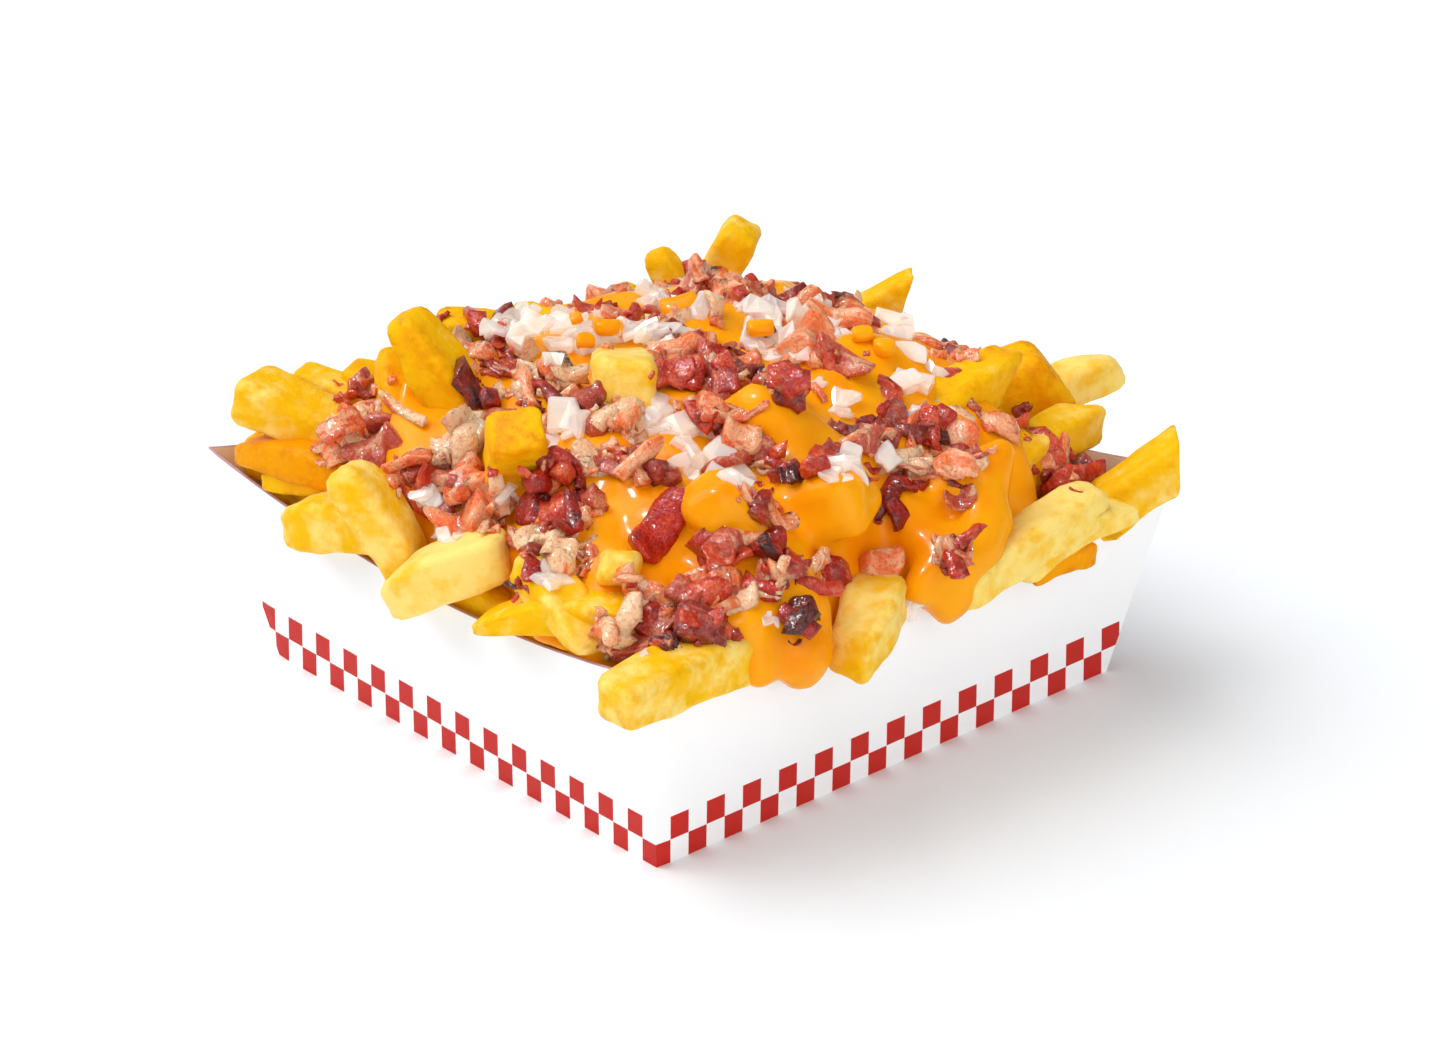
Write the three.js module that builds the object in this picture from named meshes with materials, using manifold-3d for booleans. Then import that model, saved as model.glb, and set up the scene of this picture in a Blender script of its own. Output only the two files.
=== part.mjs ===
// Loaded fries in a square paper tray: an open board tray with flared walls and dipped rims, a heap of
// chunky fries under melted cheese sauce, and the larger bacon chips and onion pieces on top.
// Millimetres, +Z up. The origin is the middle of the tray's underside.
import * as THREE from "three";
import { mergeVertices } from "three/addons/utils/BufferGeometryUtils.js";
import Module from "manifold-3d";

const wasm = await Module();
wasm.setup();

// The tray.
const baseHalfX = 66;
const baseHalfY = 68;
const flare = 10;
const cornerHeight = 52;
const rimDip = 9;
const board = 0.8;
const gap = 0.35;
const coreClear = 1.55;
const wallSteps = 8;

// The heap: a dome that stands on the level of the rim.
const heapEdge = 47;
const dome = 34;
const domePower = 3;
const reliefDepth = 1.6;
const reliefPitch = 21;
const coreSteps = 8;
const coreInset = 2.5;
const hollowDepth = 15;
const hollowRadius = 26;

// Colours, measured by eye: white board, golden fries, cured meat and onion.
const paint = {
  board: { color: 0xf7f6f4, roughness: 0.6 },
  heap: { color: 0xf2a90c, roughness: 0.4 },
  bacon: { color: 0xa8483f, roughness: 0.5 },
  onion: { color: 0xeedccb, roughness: 0.25 },
};

// The fries that show, each from its free end (tip) back to its root in the heap.
const showingFries = {
  topBlock: { tip: [-44, 56, 78.5], root: [-58, 46, 38], wide: 13.5, thick: 10 },
  topCurved: { tip: [-58, 40, 73], root: [-46, 47, 42], wide: 8.5, thick: 9 },
  backWedge: { tip: [-14.8, 79.8, 63], root: [-33, 58.6, 43.5], wide: 9, thick: 10.5 },
  rightBig: { tip: [38.5, 77.2, 61.5], root: [22, 50, 42], wide: 15, thick: 22 },
  rightPale: { tip: [42.3, 94, 59.6], root: [30, 66, 50], wide: 9, thick: 9 },
  rightCoated: { tip: [43.4, 51.7, 69.6], root: [45.4, 26.2, 66], wide: 12, thick: 12 },
  rightYellow: { tip: [52.5, 70, 56.6], root: [60, 36, 53], wide: 11, thick: 10 },
  farRight: { tip: [80, 73, 56.5], root: [66, 51, 35.5], wide: 11, thick: 11 },
  paleLong: { tip: [80, 49, 54], root: [81, 4, 46], wide: 11, thick: 10 },
  paleShort: { tip: [82, 55, 52], root: [78, 24, 46], wide: 11, thick: 10 },
  paleUpright: { tip: [85, -31.5, 44.5], root: [72, -9, 49], wide: 13, thick: 11 },
  roundCoated: { tip: [70, -14, 72], root: [38, -30, 52], wide: 15, thick: 13 },
  frontCorner: { tip: [78, -90, 51], root: [72, -42, 46], wide: 14, thick: 12 },
  frontFlat: { tip: [24, -81, 49], root: [60, -66, 56], wide: 12, thick: 8 },
  frontFlatTwo: { tip: [56, -76, 49], root: [30, -72, 60], wide: 12, thick: 9 },
  frontPale: { tip: [-1.1, -84.5, 43.6], root: [20.8, -70, 58.3], wide: 12.5, thick: 11 },
  leftUpright: { tip: [-16.6, -85, 69.8], root: [-0.9, -76, 39.9], wide: 11.5, thick: 10 },
  leftPale: { tip: [-43, -79, 45.2], root: [-14, -76, 52], wide: 13, thick: 11 },
  leftGolden: { tip: [-57, -75, 52.4], root: [-26, -66, 54], wide: 12, thick: 10 },
  leftBrown: { tip: [-65.2, -76, 55.6], root: [-33.7, -70, 57], wide: 10, thick: 9 },
  leftSlab: { tip: [-64.7, -74, 68.4], root: [-26.8, -56, 51.2], wide: 14, thick: 11 },
  leftTiny: { tip: [-70, -56, 65], root: [-36, -48, 57], wide: 9, thick: 8 },
  leftBehind: { tip: [-60, -50, 67], root: [-28, -42, 57], wide: 10, thick: 9 },
  bigStand: { tip: [-33.4, -53, 91.2], root: [-14, -44, 50], wide: 13, thick: 12 },
  backFlat: { tip: [-60, -24, 70], root: [-36, 8, 58], wide: 12, thick: 10 },
  backTip: { tip: [-56, -6, 69], root: [-32, 22, 56], wide: 9, thick: 8 },
  sideCoated: { tip: [-45, -48, 79], root: [-20, -60, 50], wide: 13, thick: 12 },
  squareEnd: { tip: [18, -35, 84.5], root: [-14, -8, 69], wide: 14, thick: 13 },
  coatedStub: { tip: [16, -63, 83], root: [2, -53, 54], wide: 12.5, thick: 12 },
  midCoated: { tip: [34, -13, 82], root: [58, -8, 60], wide: 12, thick: 11 },
  rightMidCoated: { tip: [28, 30, 79], root: [38, 6, 56], wide: 12, thick: 11 },
  paleTip: { tip: [54, -68, 66], root: [40, -52, 50], wide: 9, thick: 8 },
  midLump: { tip: [53, -45, 76], root: [66, -28, 52], wide: 12, thick: 11 },
  rightLump: { tip: [70, 18, 66], root: [62, 12, 40], wide: 13, thick: 11 },
  cornerFill: { tip: [-69, -70, 47.5], root: [-68, -30, 45], wide: 11, thick: 11 },
  cornerFillTwo: { tip: [-62, -69, 47], root: [-24, -66, 47], wide: 11, thick: 11 },
  rimLeft: { tip: [-54, -69, 46], root: [-14, -70.5, 42], wide: 10, thick: 10 },
  rimMiddle: { tip: [-8, -70.5, 42.5], root: [34, -70.5, 43], wide: 10, thick: 10 },
  underPale: { tip: [78.5, 48, 41], root: [77, 30, 41], wide: 7, thick: 7 },
};

// The far half of the heap, which the front can't show: fries that lie on its slope and fries that lean
// out over the two far rims, both spread by a seeded draw. The core is sunk there, so that they stand bare.
const slopeFries = {
  count: 38,
  seed: 23,
  reach: 0.84,
  leastFarness: 0.16,
  swing: 1.1,
  long: [34, 48],
  wide: [10, 14],
  thick: [8, 11],
};
const slopeSink = 4;
const farFries = {
  count: 14,
  seed: 11,
  reach: [0.84, 1.08],
  tipHeight: [44, 54],
  fall: [0.1, 0.55],
  swing: 0.65,
  long: [38, 52],
  wide: [10, 14],
  thick: [8, 12],
};

// Chips of bacon and pieces of onion as large as a berry, each a solid of its own in its pocket.
const largeBacon = {
  redStrip: { at: [47.5, -48.5], turn: 98, long: 24, wide: 10, thick: 4 },
  darkCurl: { at: [22, -60], turn: 20, long: 12, wide: 9, thick: 6 },
  purpleCurl: { at: [29, -60], turn: -40, long: 14, wide: 7, thick: 6 },
  pinkPair: { at: [7, -68], turn: 60, long: 14, wide: 11, thick: 7 },
  leftFold: { at: [-40, -64], turn: 15, long: 15, wide: 12, thick: 6 },
  leftLump: { at: [-28, -64], turn: 70, long: 13, wide: 11, thick: 8 },
  cornerRag: { at: [62, -68], turn: 80, long: 18, wide: 10, thick: 6 },
  cornerSlab: { at: [68, -50], turn: 30, long: 17, wide: 12, thick: 5 },
  cornerDark: { at: [71, -57], turn: 40, long: 14, wide: 8, thick: 5 },
  sauceDice: { at: [72, -10], turn: 60, long: 10, wide: 7, thick: 6 },
  rightCluster: { at: [56, 20], turn: 20, long: 16, wide: 13, thick: 6 },
  rightTop: { at: [44, 38], turn: 50, long: 15, wide: 10, thick: 6 },
  farDice: { at: [66, 54], turn: 35, long: 15, wide: 12, thick: 7 },
  purpleTop: { at: [22, 14], turn: 35, long: 14, wide: 12, thick: 7 },
  centreSlab: { at: [22, -8], turn: 75, long: 16, wide: 12, thick: 6 },
  centreRed: { at: [8, -6], turn: 10, long: 17, wide: 11, thick: 6 },
  topStrip: { at: [-34, 34], turn: 115, long: 17, wide: 5, thick: 4 },
  sideChip: { at: [62, -26], turn: 100, long: 12, wide: 9, thick: 5 },
};
const largeOnion = {
  centreFlake: { at: [30, -28], turn: 70, long: 14, wide: 10, thick: 4 },
  upperFlake: { at: [18, -30], turn: 20, long: 13, wide: 9, thick: 4 },
  lowerFlake: { at: [44, -30], turn: -10, long: 12, wide: 9, thick: 4 },
  topChunk: { at: [6, 12], turn: 50, long: 14, wide: 11, thick: 5 },
  leftFlake: { at: [12, -48], turn: -20, long: 14, wide: 8, thick: 4 },
  rightFlake: { at: [52, 4], turn: 40, long: 13, wide: 9, thick: 4 },
  backFlake: { at: [-30, -8], turn: 10, long: 13, wide: 10, thick: 4 },
};

// Chips too small for a solid of their own, fused to the heap.
const smallChips = { count: 24, seed: 5, spread: 64, long: [6, 10], wide: [5, 8], thick: [3.5, 5] };
const chipSink = 0.35;

// Sauce that runs over the rim: where it leaves the heap, and how far down the wall it hangs.
const sauceDrips = {
  frontDrip: { along: -36, wide: 14, low: 36 },
  rightDrip: { along: 12, wide: 8, low: 33 },
};

// A seeded draw: the same numbers in the same order on every run.
function seeded(seed) {
  let state = seed >>> 0;
  return () => {
    state = (state + 0x6d2b79f5) >>> 0;
    let t = state;
    t = Math.imul(t ^ (t >>> 15), t | 1);
    t ^= t + Math.imul(t ^ (t >>> 7), t | 61);
    return ((t ^ (t >>> 14)) >>> 0) / 4294967296;
  };
}

function between(draw, range) {
  return range[0] + (range[1] - range[0]) * draw();
}

// The rim's height along a wall, u from -1 to 1: an arc that is lowest in the middle.
function rimHeight(u) {
  return cornerHeight - rimDip * (1 - u * u);
}

// Half the tray's width at height z, to the board's outer face.
function halfX(z) {
  return baseHalfX + (flare * z) / cornerHeight;
}

function halfY(z) {
  return baseHalfY + (flare * z) / cornerHeight;
}

// How far the heap sinks below its even dome: it leaves the tray's far right corner open.
function hollow(x, y) {
  const away = Math.hypot(x - halfX(cornerHeight), y - halfY(cornerHeight));
  return hollowDepth * Math.exp(-((away / hollowRadius) ** 2));
}

// The heap's bare height over the table at a point.
function heapHeight(x, y) {
  const u = Math.min(Math.abs(x) / halfX(cornerHeight), 1);
  const v = Math.min(Math.abs(y) / halfY(cornerHeight), 1);
  return heapEdge + dome * (1 - u ** domePower) * (1 - v ** domePower) - hollow(x, y);
}

// How far over to the bare far half a point lies, from 0 along the middle to 1 at the far corner.
function farness(x, y) {
  return Math.min(Math.max((y / halfY(cornerHeight) - x / halfX(cornerHeight)) / 2, 0), 1);
}

// The core's height over the table: the heap's, less what the fries on the far slope stand over it.
function coreHeight(x, y) {
  return heapHeight(x, y) + relief(x, y) - slopeSink * Math.min(3 * farness(x, y), 1);
}

// Low swells of the sauce over the heap.
function relief(x, y) {
  const p = (2 * Math.PI) / reliefPitch;
  const crossed = Math.sin(p * x + 0.7) * Math.cos(p * y * 0.9);
  const slanted = Math.sin(p * (0.7 * x - y) + 2);
  return reliefDepth * (crossed + 0.6 * slanted);
}

// A closed mesh from points and triangles becomes a solid for joining and cutting.
function solidOf(points, triangles) {
  const geometry = new THREE.BufferGeometry();
  geometry.setAttribute("position", new THREE.Float32BufferAttribute(points.flat(), 3));
  geometry.setIndex(triangles.flat());
  return solidOfGeometry(geometry);
}

function solidOfGeometry(geometry) {
  const bare = geometry.clone();
  bare.deleteAttribute("normal");
  bare.deleteAttribute("uv");
  const merged = mergeVertices(bare, 1e-4);
  const solid = new wasm.Manifold(
    new wasm.Mesh({
      numProp: 3,
      vertProperties: new Float32Array(merged.attributes.position.array),
      triVerts: new Uint32Array(merged.index.array),
    }),
  );
  return solid;
}

// Closed rings of points, each of the same count, joined into a skin with a flat fan at both ends.
function loftSolid(rings) {
  const count = rings[0].length;
  const points = rings.flat();
  const triangles = [];
  for (let r = 0; r < rings.length - 1; r++) {
    for (let i = 0; i < count; i++) {
      const a = r * count + i;
      const b = r * count + ((i + 1) % count);
      triangles.push([a, b, b + count], [a, b + count, a + count]);
    }
  }
  const capAt = (start, flip) => {
    const ring = points.slice(start, start + count);
    const middle = [0, 1, 2].map((k) => ring.reduce((sum, p) => sum + p[k], 0) / count);
    points.push(middle);
    const hub = points.length - 1;
    for (let i = 0; i < count; i++) {
      const a = start + i;
      const b = start + ((i + 1) % count);
      triangles.push(flip ? [hub, b, a] : [hub, a, b]);
    }
  };
  capAt(0, true);
  capAt((rings.length - 1) * count, false);
  return solidOf(points, triangles);
}

// One ring round the tray, counterclockwise from above; place(side, u) gives each point.
function wallRing(place) {
  const ring = [];
  for (let side = 0; side < 4; side++) {
    for (let i = 0; i < wallSteps; i++) {
      ring.push(place(side, -1 + (2 * i) / wallSteps));
    }
  }
  return ring;
}

// A point on wall number side: in front, right, behind and left, u running counterclockwise.
function wallPoint(side, u, z, inset) {
  const x = halfX(z) - inset;
  const y = halfY(z) - inset;
  return [
    [u * x, -y, z],
    [x, u * y, z],
    [-u * x, y, z],
    [-x, -u * y, z],
  ][side];
}

// The tray: out along the underside, up the outer face, over the rim and down the inner face.
// grow makes every face stand that much proud, for cutting room round it.
function traySolid(grow) {
  return loftSolid([
    wallRing((side, u) => wallPoint(side, u, -grow, -grow)),
    wallRing((side, u) => wallPoint(side, u, rimHeight(u) + grow, -grow)),
    wallRing((side, u) => wallPoint(side, u, rimHeight(u) + grow, board + grow)),
    wallRing((side, u) => wallPoint(side, u, board + grow, board + grow)),
  ]);
}

// The heap's core: the tray's inside, filled to the rim and domed over it.
function coreSolid() {
  const edge = (side, u) => {
    const top = rimHeight(u) - coreInset;
    const [x, y] = wallPoint(side, u, top, coreClear);
    return wallPoint(side, u, top - hollow(x, y), coreClear);
  };
  const rings = [
    wallRing((side, u) => wallPoint(side, u, board + gap, coreClear)),
    wallRing(edge),
  ];
  for (let k = coreSteps - 1; k > 0; k--) {
    const share = k / coreSteps;
    rings.push(
      wallRing((side, u) => {
        const [x, y] = edge(side, u);
        const px = x * share;
        const py = y * share;
        return [px, py, coreHeight(px, py)];
      }),
    );
  }
  return loftSolid(rings);
}

// A fry: an oblong section with cut corners, carried from root to tip, rounded in at both ends and bowed.
function frySolid({ tip, root, wide, thick, bow = 1.5 }) {
  const from = new THREE.Vector3(...root);
  const to = new THREE.Vector3(...tip);
  const along = to.clone().sub(from).normalize();
  const across = new THREE.Vector3(0, 0, 1).cross(along).normalize();
  const rise = along.clone().cross(across);
  const length = from.distanceTo(to);
  const cut = 0.3;
  const section = [
    [1, -1 + cut],
    [1, 1 - cut],
    [1 - cut, 1],
    [-1 + cut, 1],
    [-1, 1 - cut],
    [-1, -1 + cut],
    [-1 + cut, -1],
    [1 - cut, -1],
  ];
  const stations = [
    [0, 0.62],
    [0.05, 0.95],
    [0.5, 1],
    [0.95, 0.92],
    [1, 0.6],
  ];
  const rings = stations.map(([t, size]) => {
    const middle = from.clone().addScaledVector(along, t * length);
    middle.addScaledVector(rise, bow * 4 * t * (1 - t));
    return section.map(([a, b]) => {
      const point = middle.clone();
      point.addScaledVector(across, (a * wide * size) / 2);
      point.addScaledVector(rise, (b * thick * size) / 2);
      return point.toArray();
    });
  });
  return loftSolid(rings);
}

// Fries over the two far walls: each leans outwards from a root in the heap.
function farFrySizes() {
  const draw = seeded(farFries.seed);
  const sizes = [];
  for (let i = 0; i < farFries.count; i++) {
    const behind = i % 2 === 0;
    const u = 0.9 * ((2 * (i + 0.5)) / farFries.count - 1);
    const reach = between(draw, farFries.reach);
    const tipX = behind ? u * halfX(cornerHeight) : -reach * halfX(cornerHeight);
    const tipY = behind ? reach * halfY(cornerHeight) : u * halfY(cornerHeight);
    const tipZ = between(draw, farFries.tipHeight);
    const swing = between(draw, [-farFries.swing, farFries.swing]);
    const inwards = (behind ? -Math.PI / 2 : 0) + swing;
    const long = between(draw, farFries.long);
    const fall = between(draw, farFries.fall);
    sizes.push({
      tip: [tipX, tipY, tipZ],
      root: [
        tipX + Math.cos(inwards) * Math.cos(fall) * long,
        tipY + Math.sin(inwards) * Math.cos(fall) * long,
        tipZ - Math.sin(fall) * long,
      ],
      wide: between(draw, farFries.wide),
      thick: between(draw, farFries.thick),
    });
  }
  return sizes;
}

// Fries on the far slope: an even spread over the whole square, of which the far half is kept. Each lies
// along the slope, outwards to within a third of a turn.
function slopeFrySizes() {
  const draw = seeded(slopeFries.seed);
  const sizes = [];
  for (let i = 1; i <= slopeFries.count; i++) {
    const u = slopeFries.reach * (2 * ((i * 0.7549) % 1) - 1);
    const v = slopeFries.reach * (2 * ((i * 0.5698) % 1) - 1);
    const heading = Math.atan2(v, u) + between(draw, [-slopeFries.swing, slopeFries.swing]);
    const half = between(draw, slopeFries.long) / 2;
    const wide = between(draw, slopeFries.wide);
    const thick = between(draw, slopeFries.thick);
    const x = u * halfX(cornerHeight);
    const y = v * halfY(cornerHeight);
    if (farness(x, y) < slopeFries.leastFarness) {
      continue;
    }
    const end = (sign, sunk) => {
      const px = x + sign * half * Math.cos(heading);
      const py = y + sign * half * Math.sin(heading);
      return [px, py, heapHeight(px, py) - sunk * thick];
    };
    sizes.push({ tip: end(1, 0.3), root: end(-1, 0.55), wide, thick });
  }
  return sizes;
}

// A chip of meat or onion: a slab of two rings, its outline ragged and its faces waved, laid on the heap.
function chipSolid({ at, turn, long, wide, thick }, seed, grow = 0) {
  const draw = seeded(seed);
  const [x, y] = at;
  const step = 3;
  const slopeX = (heapHeight(x + step, y) - heapHeight(x - step, y)) / (2 * step);
  const slopeY = (heapHeight(x, y + step) - heapHeight(x, y - step)) / (2 * step);
  const up = new THREE.Vector3(-slopeX, -slopeY, 1).normalize();
  const angle = THREE.MathUtils.degToRad(turn);
  const along = new THREE.Vector3(Math.cos(angle), Math.sin(angle), 0);
  along.addScaledVector(up, -along.dot(up)).normalize();
  const across = up.clone().cross(along);
  const middle = new THREE.Vector3(x, y, coreHeight(x, y));
  middle.addScaledVector(up, thick * (0.5 - chipSink) + 0.5);
  const corners = 7;
  const outline = [];
  for (let i = 0; i < corners; i++) {
    const a = (2 * Math.PI * i) / corners;
    const ragged = 0.82 + 0.3 * draw();
    outline.push([Math.cos(a) * ragged, Math.sin(a) * ragged, 0.5 * (draw() - 0.5)]);
  }
  const levels = [
    [-1, 0.8],
    [0.3, 1],
    [1, 0.7],
  ];
  const rings = levels.map(([level, size]) =>
    outline.map(([a, b, wave]) => {
      const point = middle.clone();
      point.addScaledVector(along, a * (size * (long / 2) + grow));
      point.addScaledVector(across, b * (size * (wide / 2) + grow));
      point.addScaledVector(up, level * (thick / 2 + grow) + wave * thick * 0.5);
      return point.toArray();
    }),
  );
  return loftSolid(rings);
}

// The small chips are spread over the whole dome on a sunflower's spiral, nudged by the draw. More of
// them are near the smaller sizes than near the larger.
function smallChipSizes() {
  const draw = seeded(smallChips.seed);
  const smaller = () => draw() ** 1.5;
  const goldenAngle = Math.PI * (3 - Math.sqrt(5));
  const sizes = [];
  for (let i = 0; i < smallChips.count; i++) {
    const radius = smallChips.spread * Math.sqrt((i + 0.5) / smallChips.count);
    const angle = i * goldenAngle + 0.4 * draw();
    sizes.push({
      at: [radius * Math.cos(angle), radius * Math.sin(angle)],
      turn: 360 * draw(),
      long: between(smaller, smallChips.long),
      wide: between(smaller, smallChips.wide),
      thick: between(smaller, smallChips.thick),
    });
  }
  return sizes;
}

// A tongue of sauce over the right-hand rim and down the wall's outer face, round at its low end.
function dripSolid({ along, wide, low }) {
  const u = along / halfY(cornerHeight);
  const top = rimHeight(u);
  const thick = 4;
  const path = [
    [halfX(top) - 14, top + 6, 0.9],
    [halfX(top) - 3, top + 4.5, 1],
    [halfX(top) + 2.5, top + 1, 0.95],
    [halfX(low + 5) + 2.4, low + 5, 0.75],
    [halfX(low) + 2, low, 0.4],
  ];
  const sides = 8;
  const rings = path.map(([x, z, size], k) => {
    const next = path[Math.min(k + 1, path.length - 1)];
    const last = path[Math.max(k - 1, 0)];
    const run = new THREE.Vector2(next[0] - last[0], next[1] - last[1]).normalize();
    const ring = [];
    for (let i = 0; i < sides; i++) {
      const a = (2 * Math.PI * i) / sides;
      const out = (Math.cos(a) * thick * (0.6 + 0.4 * size)) / 2;
      ring.push([x - run.y * out, along - (Math.sin(a) * wide * size) / 2, z + run.x * out]);
    }
    return ring;
  });
  return loftSolid(rings);
}

function largestBody(solid) {
  return solid.decompose().sort((a, b) => b.volume() - a.volume())[0];
}

function meshOf(name, solid, look) {
  const { vertProperties, triVerts, numProp } = solid.getMesh();
  const positions = new Float32Array((vertProperties.length / numProp) * 3);
  for (let i = 0; i < positions.length / 3; i++) {
    positions.set(vertProperties.subarray(i * numProp, i * numProp + 3), i * 3);
  }
  const geometry = new THREE.BufferGeometry();
  geometry.setAttribute("position", new THREE.BufferAttribute(positions, 3));
  geometry.setIndex(new THREE.BufferAttribute(triVerts, 1));
  geometry.computeVertexNormals();
  const mesh = new THREE.Mesh(geometry, new THREE.MeshStandardMaterial({ ...look, metalness: 0 }));
  mesh.name = name;
  return mesh;
}

// Chips that are solids of their own, each kept clear of those placed before it.
function largeChips(table, kind, firstSeed, placed) {
  return Object.entries(table).map(([name, size], i) => {
    let solid = chipSolid(size, firstSeed + i);
    for (const other of placed) {
      solid = solid.subtract(other.room);
    }
    const room = chipSolid(size, firstSeed + i, gap);
    const made = { name: `${kind}_${name}`, solid: largestBody(solid), room };
    placed.push(made);
    return made;
  });
}

const placed = [];
const bacon = largeChips(largeBacon, "bacon", 100, placed);
const onion = largeChips(largeOnion, "onion", 200, placed);

let heap = coreSolid();
for (const fry of [...Object.values(showingFries), ...slopeFrySizes(), ...farFrySizes()]) {
  heap = heap.add(frySolid(fry));
}
for (const drip of Object.values(sauceDrips)) {
  heap = heap.add(dripSolid(drip));
}
smallChipSizes().forEach((size, i) => {
  heap = heap.add(chipSolid(size, 300 + i));
});
heap = heap.subtract(traySolid(gap));
for (const chip of placed) {
  heap = heap.subtract(chip.room);
}

const loadedFries = new THREE.Group();
loadedFries.add(meshOf("tray", traySolid(0), paint.board));
loadedFries.add(meshOf("fries_heap", largestBody(heap), paint.heap));
for (const chip of bacon) {
  loadedFries.add(meshOf(chip.name, chip.solid, paint.bacon));
}
for (const chip of onion) {
  loadedFries.add(meshOf(chip.name, chip.solid, paint.onion));
}

export default loadedFries;
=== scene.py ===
import math

import bpy
import numpy as np
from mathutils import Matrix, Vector
from mathutils.bvhtree import BVHTree


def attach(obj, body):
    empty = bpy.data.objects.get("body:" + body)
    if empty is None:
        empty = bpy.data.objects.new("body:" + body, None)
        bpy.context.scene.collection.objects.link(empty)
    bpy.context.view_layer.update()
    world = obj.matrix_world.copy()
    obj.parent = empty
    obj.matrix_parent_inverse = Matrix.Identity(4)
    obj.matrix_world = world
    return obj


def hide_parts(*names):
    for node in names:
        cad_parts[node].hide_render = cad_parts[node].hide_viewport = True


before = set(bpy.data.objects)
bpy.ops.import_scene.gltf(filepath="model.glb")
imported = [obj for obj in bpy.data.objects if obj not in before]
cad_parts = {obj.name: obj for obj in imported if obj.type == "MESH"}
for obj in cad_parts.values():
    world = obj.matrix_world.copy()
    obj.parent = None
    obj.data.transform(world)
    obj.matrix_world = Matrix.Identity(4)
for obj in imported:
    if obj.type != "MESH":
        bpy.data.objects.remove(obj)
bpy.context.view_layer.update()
mm = 0.001  # sizes are in millimetres until a mesh is made


# where the camera stands, fitted to the photo
camera = {
    "azimuth": 48.2,  # degrees, 0 looks along +Y
    "elevation": 25.6,
    "distance": 1096.0,
    "aim": (6.5, 31.2),  # how far the view's middle lies right of and above the origin
    "lens": 120.0,
    "sensor": 36.0,
    "clip": (0.05, 20.0),  # metres
    "photoWidth": 1440,
    "photoHeight": 1052,
}


def cameraAxes():
    # back points from the tray to the camera: sine and cosine of the azimuth, lowered by the cosine of the
    # elevation; right is level, and up is their cross product
    a, e = math.radians(camera["azimuth"]), math.radians(camera["elevation"])
    back = np.array([math.sin(a) * math.cos(e), -math.cos(a) * math.cos(e), math.sin(e)])
    right = np.array([math.cos(a), math.sin(a), 0.0])
    return back, right, np.cross(back, right)


back, right, up = cameraAxes()
cameraPlace = back * camera["distance"] + right * camera["aim"][0] + up * camera["aim"][1]
focal = camera["lens"] / camera["sensor"] * camera["photoWidth"]


def unit(v):
    # the same direction at length 1
    return v / np.linalg.norm(v)


def rayThrough(px, py):
    # from the camera through a pixel of the photo: its offsets from the middle over the focal length
    sideways = (px - camera["photoWidth"] / 2) / focal
    upwards = (camera["photoHeight"] / 2 - py) / focal
    return cameraPlace, unit(-back + right * sideways + up * upwards)


def makeCamera():
    # turned so that it looks against back, with up on its own upper side
    data = bpy.data.cameras.new("photoCamera")
    data.lens, data.sensor_width = camera["lens"], camera["sensor"]
    data.clip_start, data.clip_end = camera["clip"]
    made = bpy.data.objects.new("photoCamera", data)
    bpy.context.collection.objects.link(made)
    made.location = Vector(cameraPlace * mm)
    made.rotation_mode = "QUATERNION"
    made.rotation_quaternion = Vector(-back).to_track_quat("-Z", "Y")
    bpy.context.scene.camera = made


makeCamera()
print("camera made")


def seeded(seed):
    # the same run of numbers from 0 to 1 for the same seed, as the solids were drawn: the state grows by a
    # fixed step, and its bits are mixed by shifts and products
    word = 0xFFFFFFFF
    state = [seed & word]

    def draw():
        state[0] = (state[0] + 0x6D2B79F5) & word
        t = state[0]
        t = ((t ^ (t >> 15)) * (t | 1)) & word
        t ^= (t + (((t ^ (t >> 7)) * (t | 61)) & word)) & word
        return ((t ^ (t >> 14)) & word) / 4294967296

    return draw


def between(draw, limits):
    # the low limit plus a drawn share of the way to the high one
    return limits[0] + (limits[1] - limits[0]) * draw()


def latticeValue(x, y, z, seed):
    # a fixed number from 0 to 1 for each whole-number point
    n = (x * 374761393 + y * 668265263 + z * 1440662683 + seed * 974634777) & 0xFFFFFFFF
    n = ((n ^ (n >> 13)) * 1274126177) & 0xFFFFFFFF
    return ((n ^ (n >> 16)) & 0xFFFF) / 65535.0


def noise(points, size, seed=0):
    # from -1 to 1: the lattice's numbers, blended by the smoothstep of the place in each cell
    q = points / size
    cell = np.floor(q).astype(np.int64)
    f = q - cell
    f = f * f * (3 - 2 * f)
    total = np.zeros(points.shape[:-1])
    for corner in np.ndindex(2, 2, 2):
        x, y, z = [cell[..., k] + corner[k] for k in range(3)]
        shares = [f[..., k] if corner[k] else 1 - f[..., k] for k in range(3)]
        total += shares[0] * shares[1] * shares[2] * latticeValue(x, y, z, seed)
    return 2 * total - 1


def tubeFaces(rings, around):
    # rings of points with a pole at each end: four-sided faces between rings and a fan at each pole
    i = np.arange(around)
    j = (i + 1) % around
    start = 1 + np.arange(rings - 1)[:, None] * around
    a, b = start + i, start + j
    quads = np.stack([a, b, b + around, a + around], -1).reshape(-1, 4)
    last = 1 + (rings - 1) * around
    first = np.stack([np.zeros_like(i), 1 + j, 1 + i], -1)
    final = np.stack([last + i, last + j, np.full_like(i, last + around)], -1)
    return quads, np.vstack([first, final])


def withPoles(grid, first, last):
    # a grid's rows one after the other, between two poles
    return np.concatenate([[first], grid.reshape(-1, grid.shape[-1]), [last]])


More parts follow.
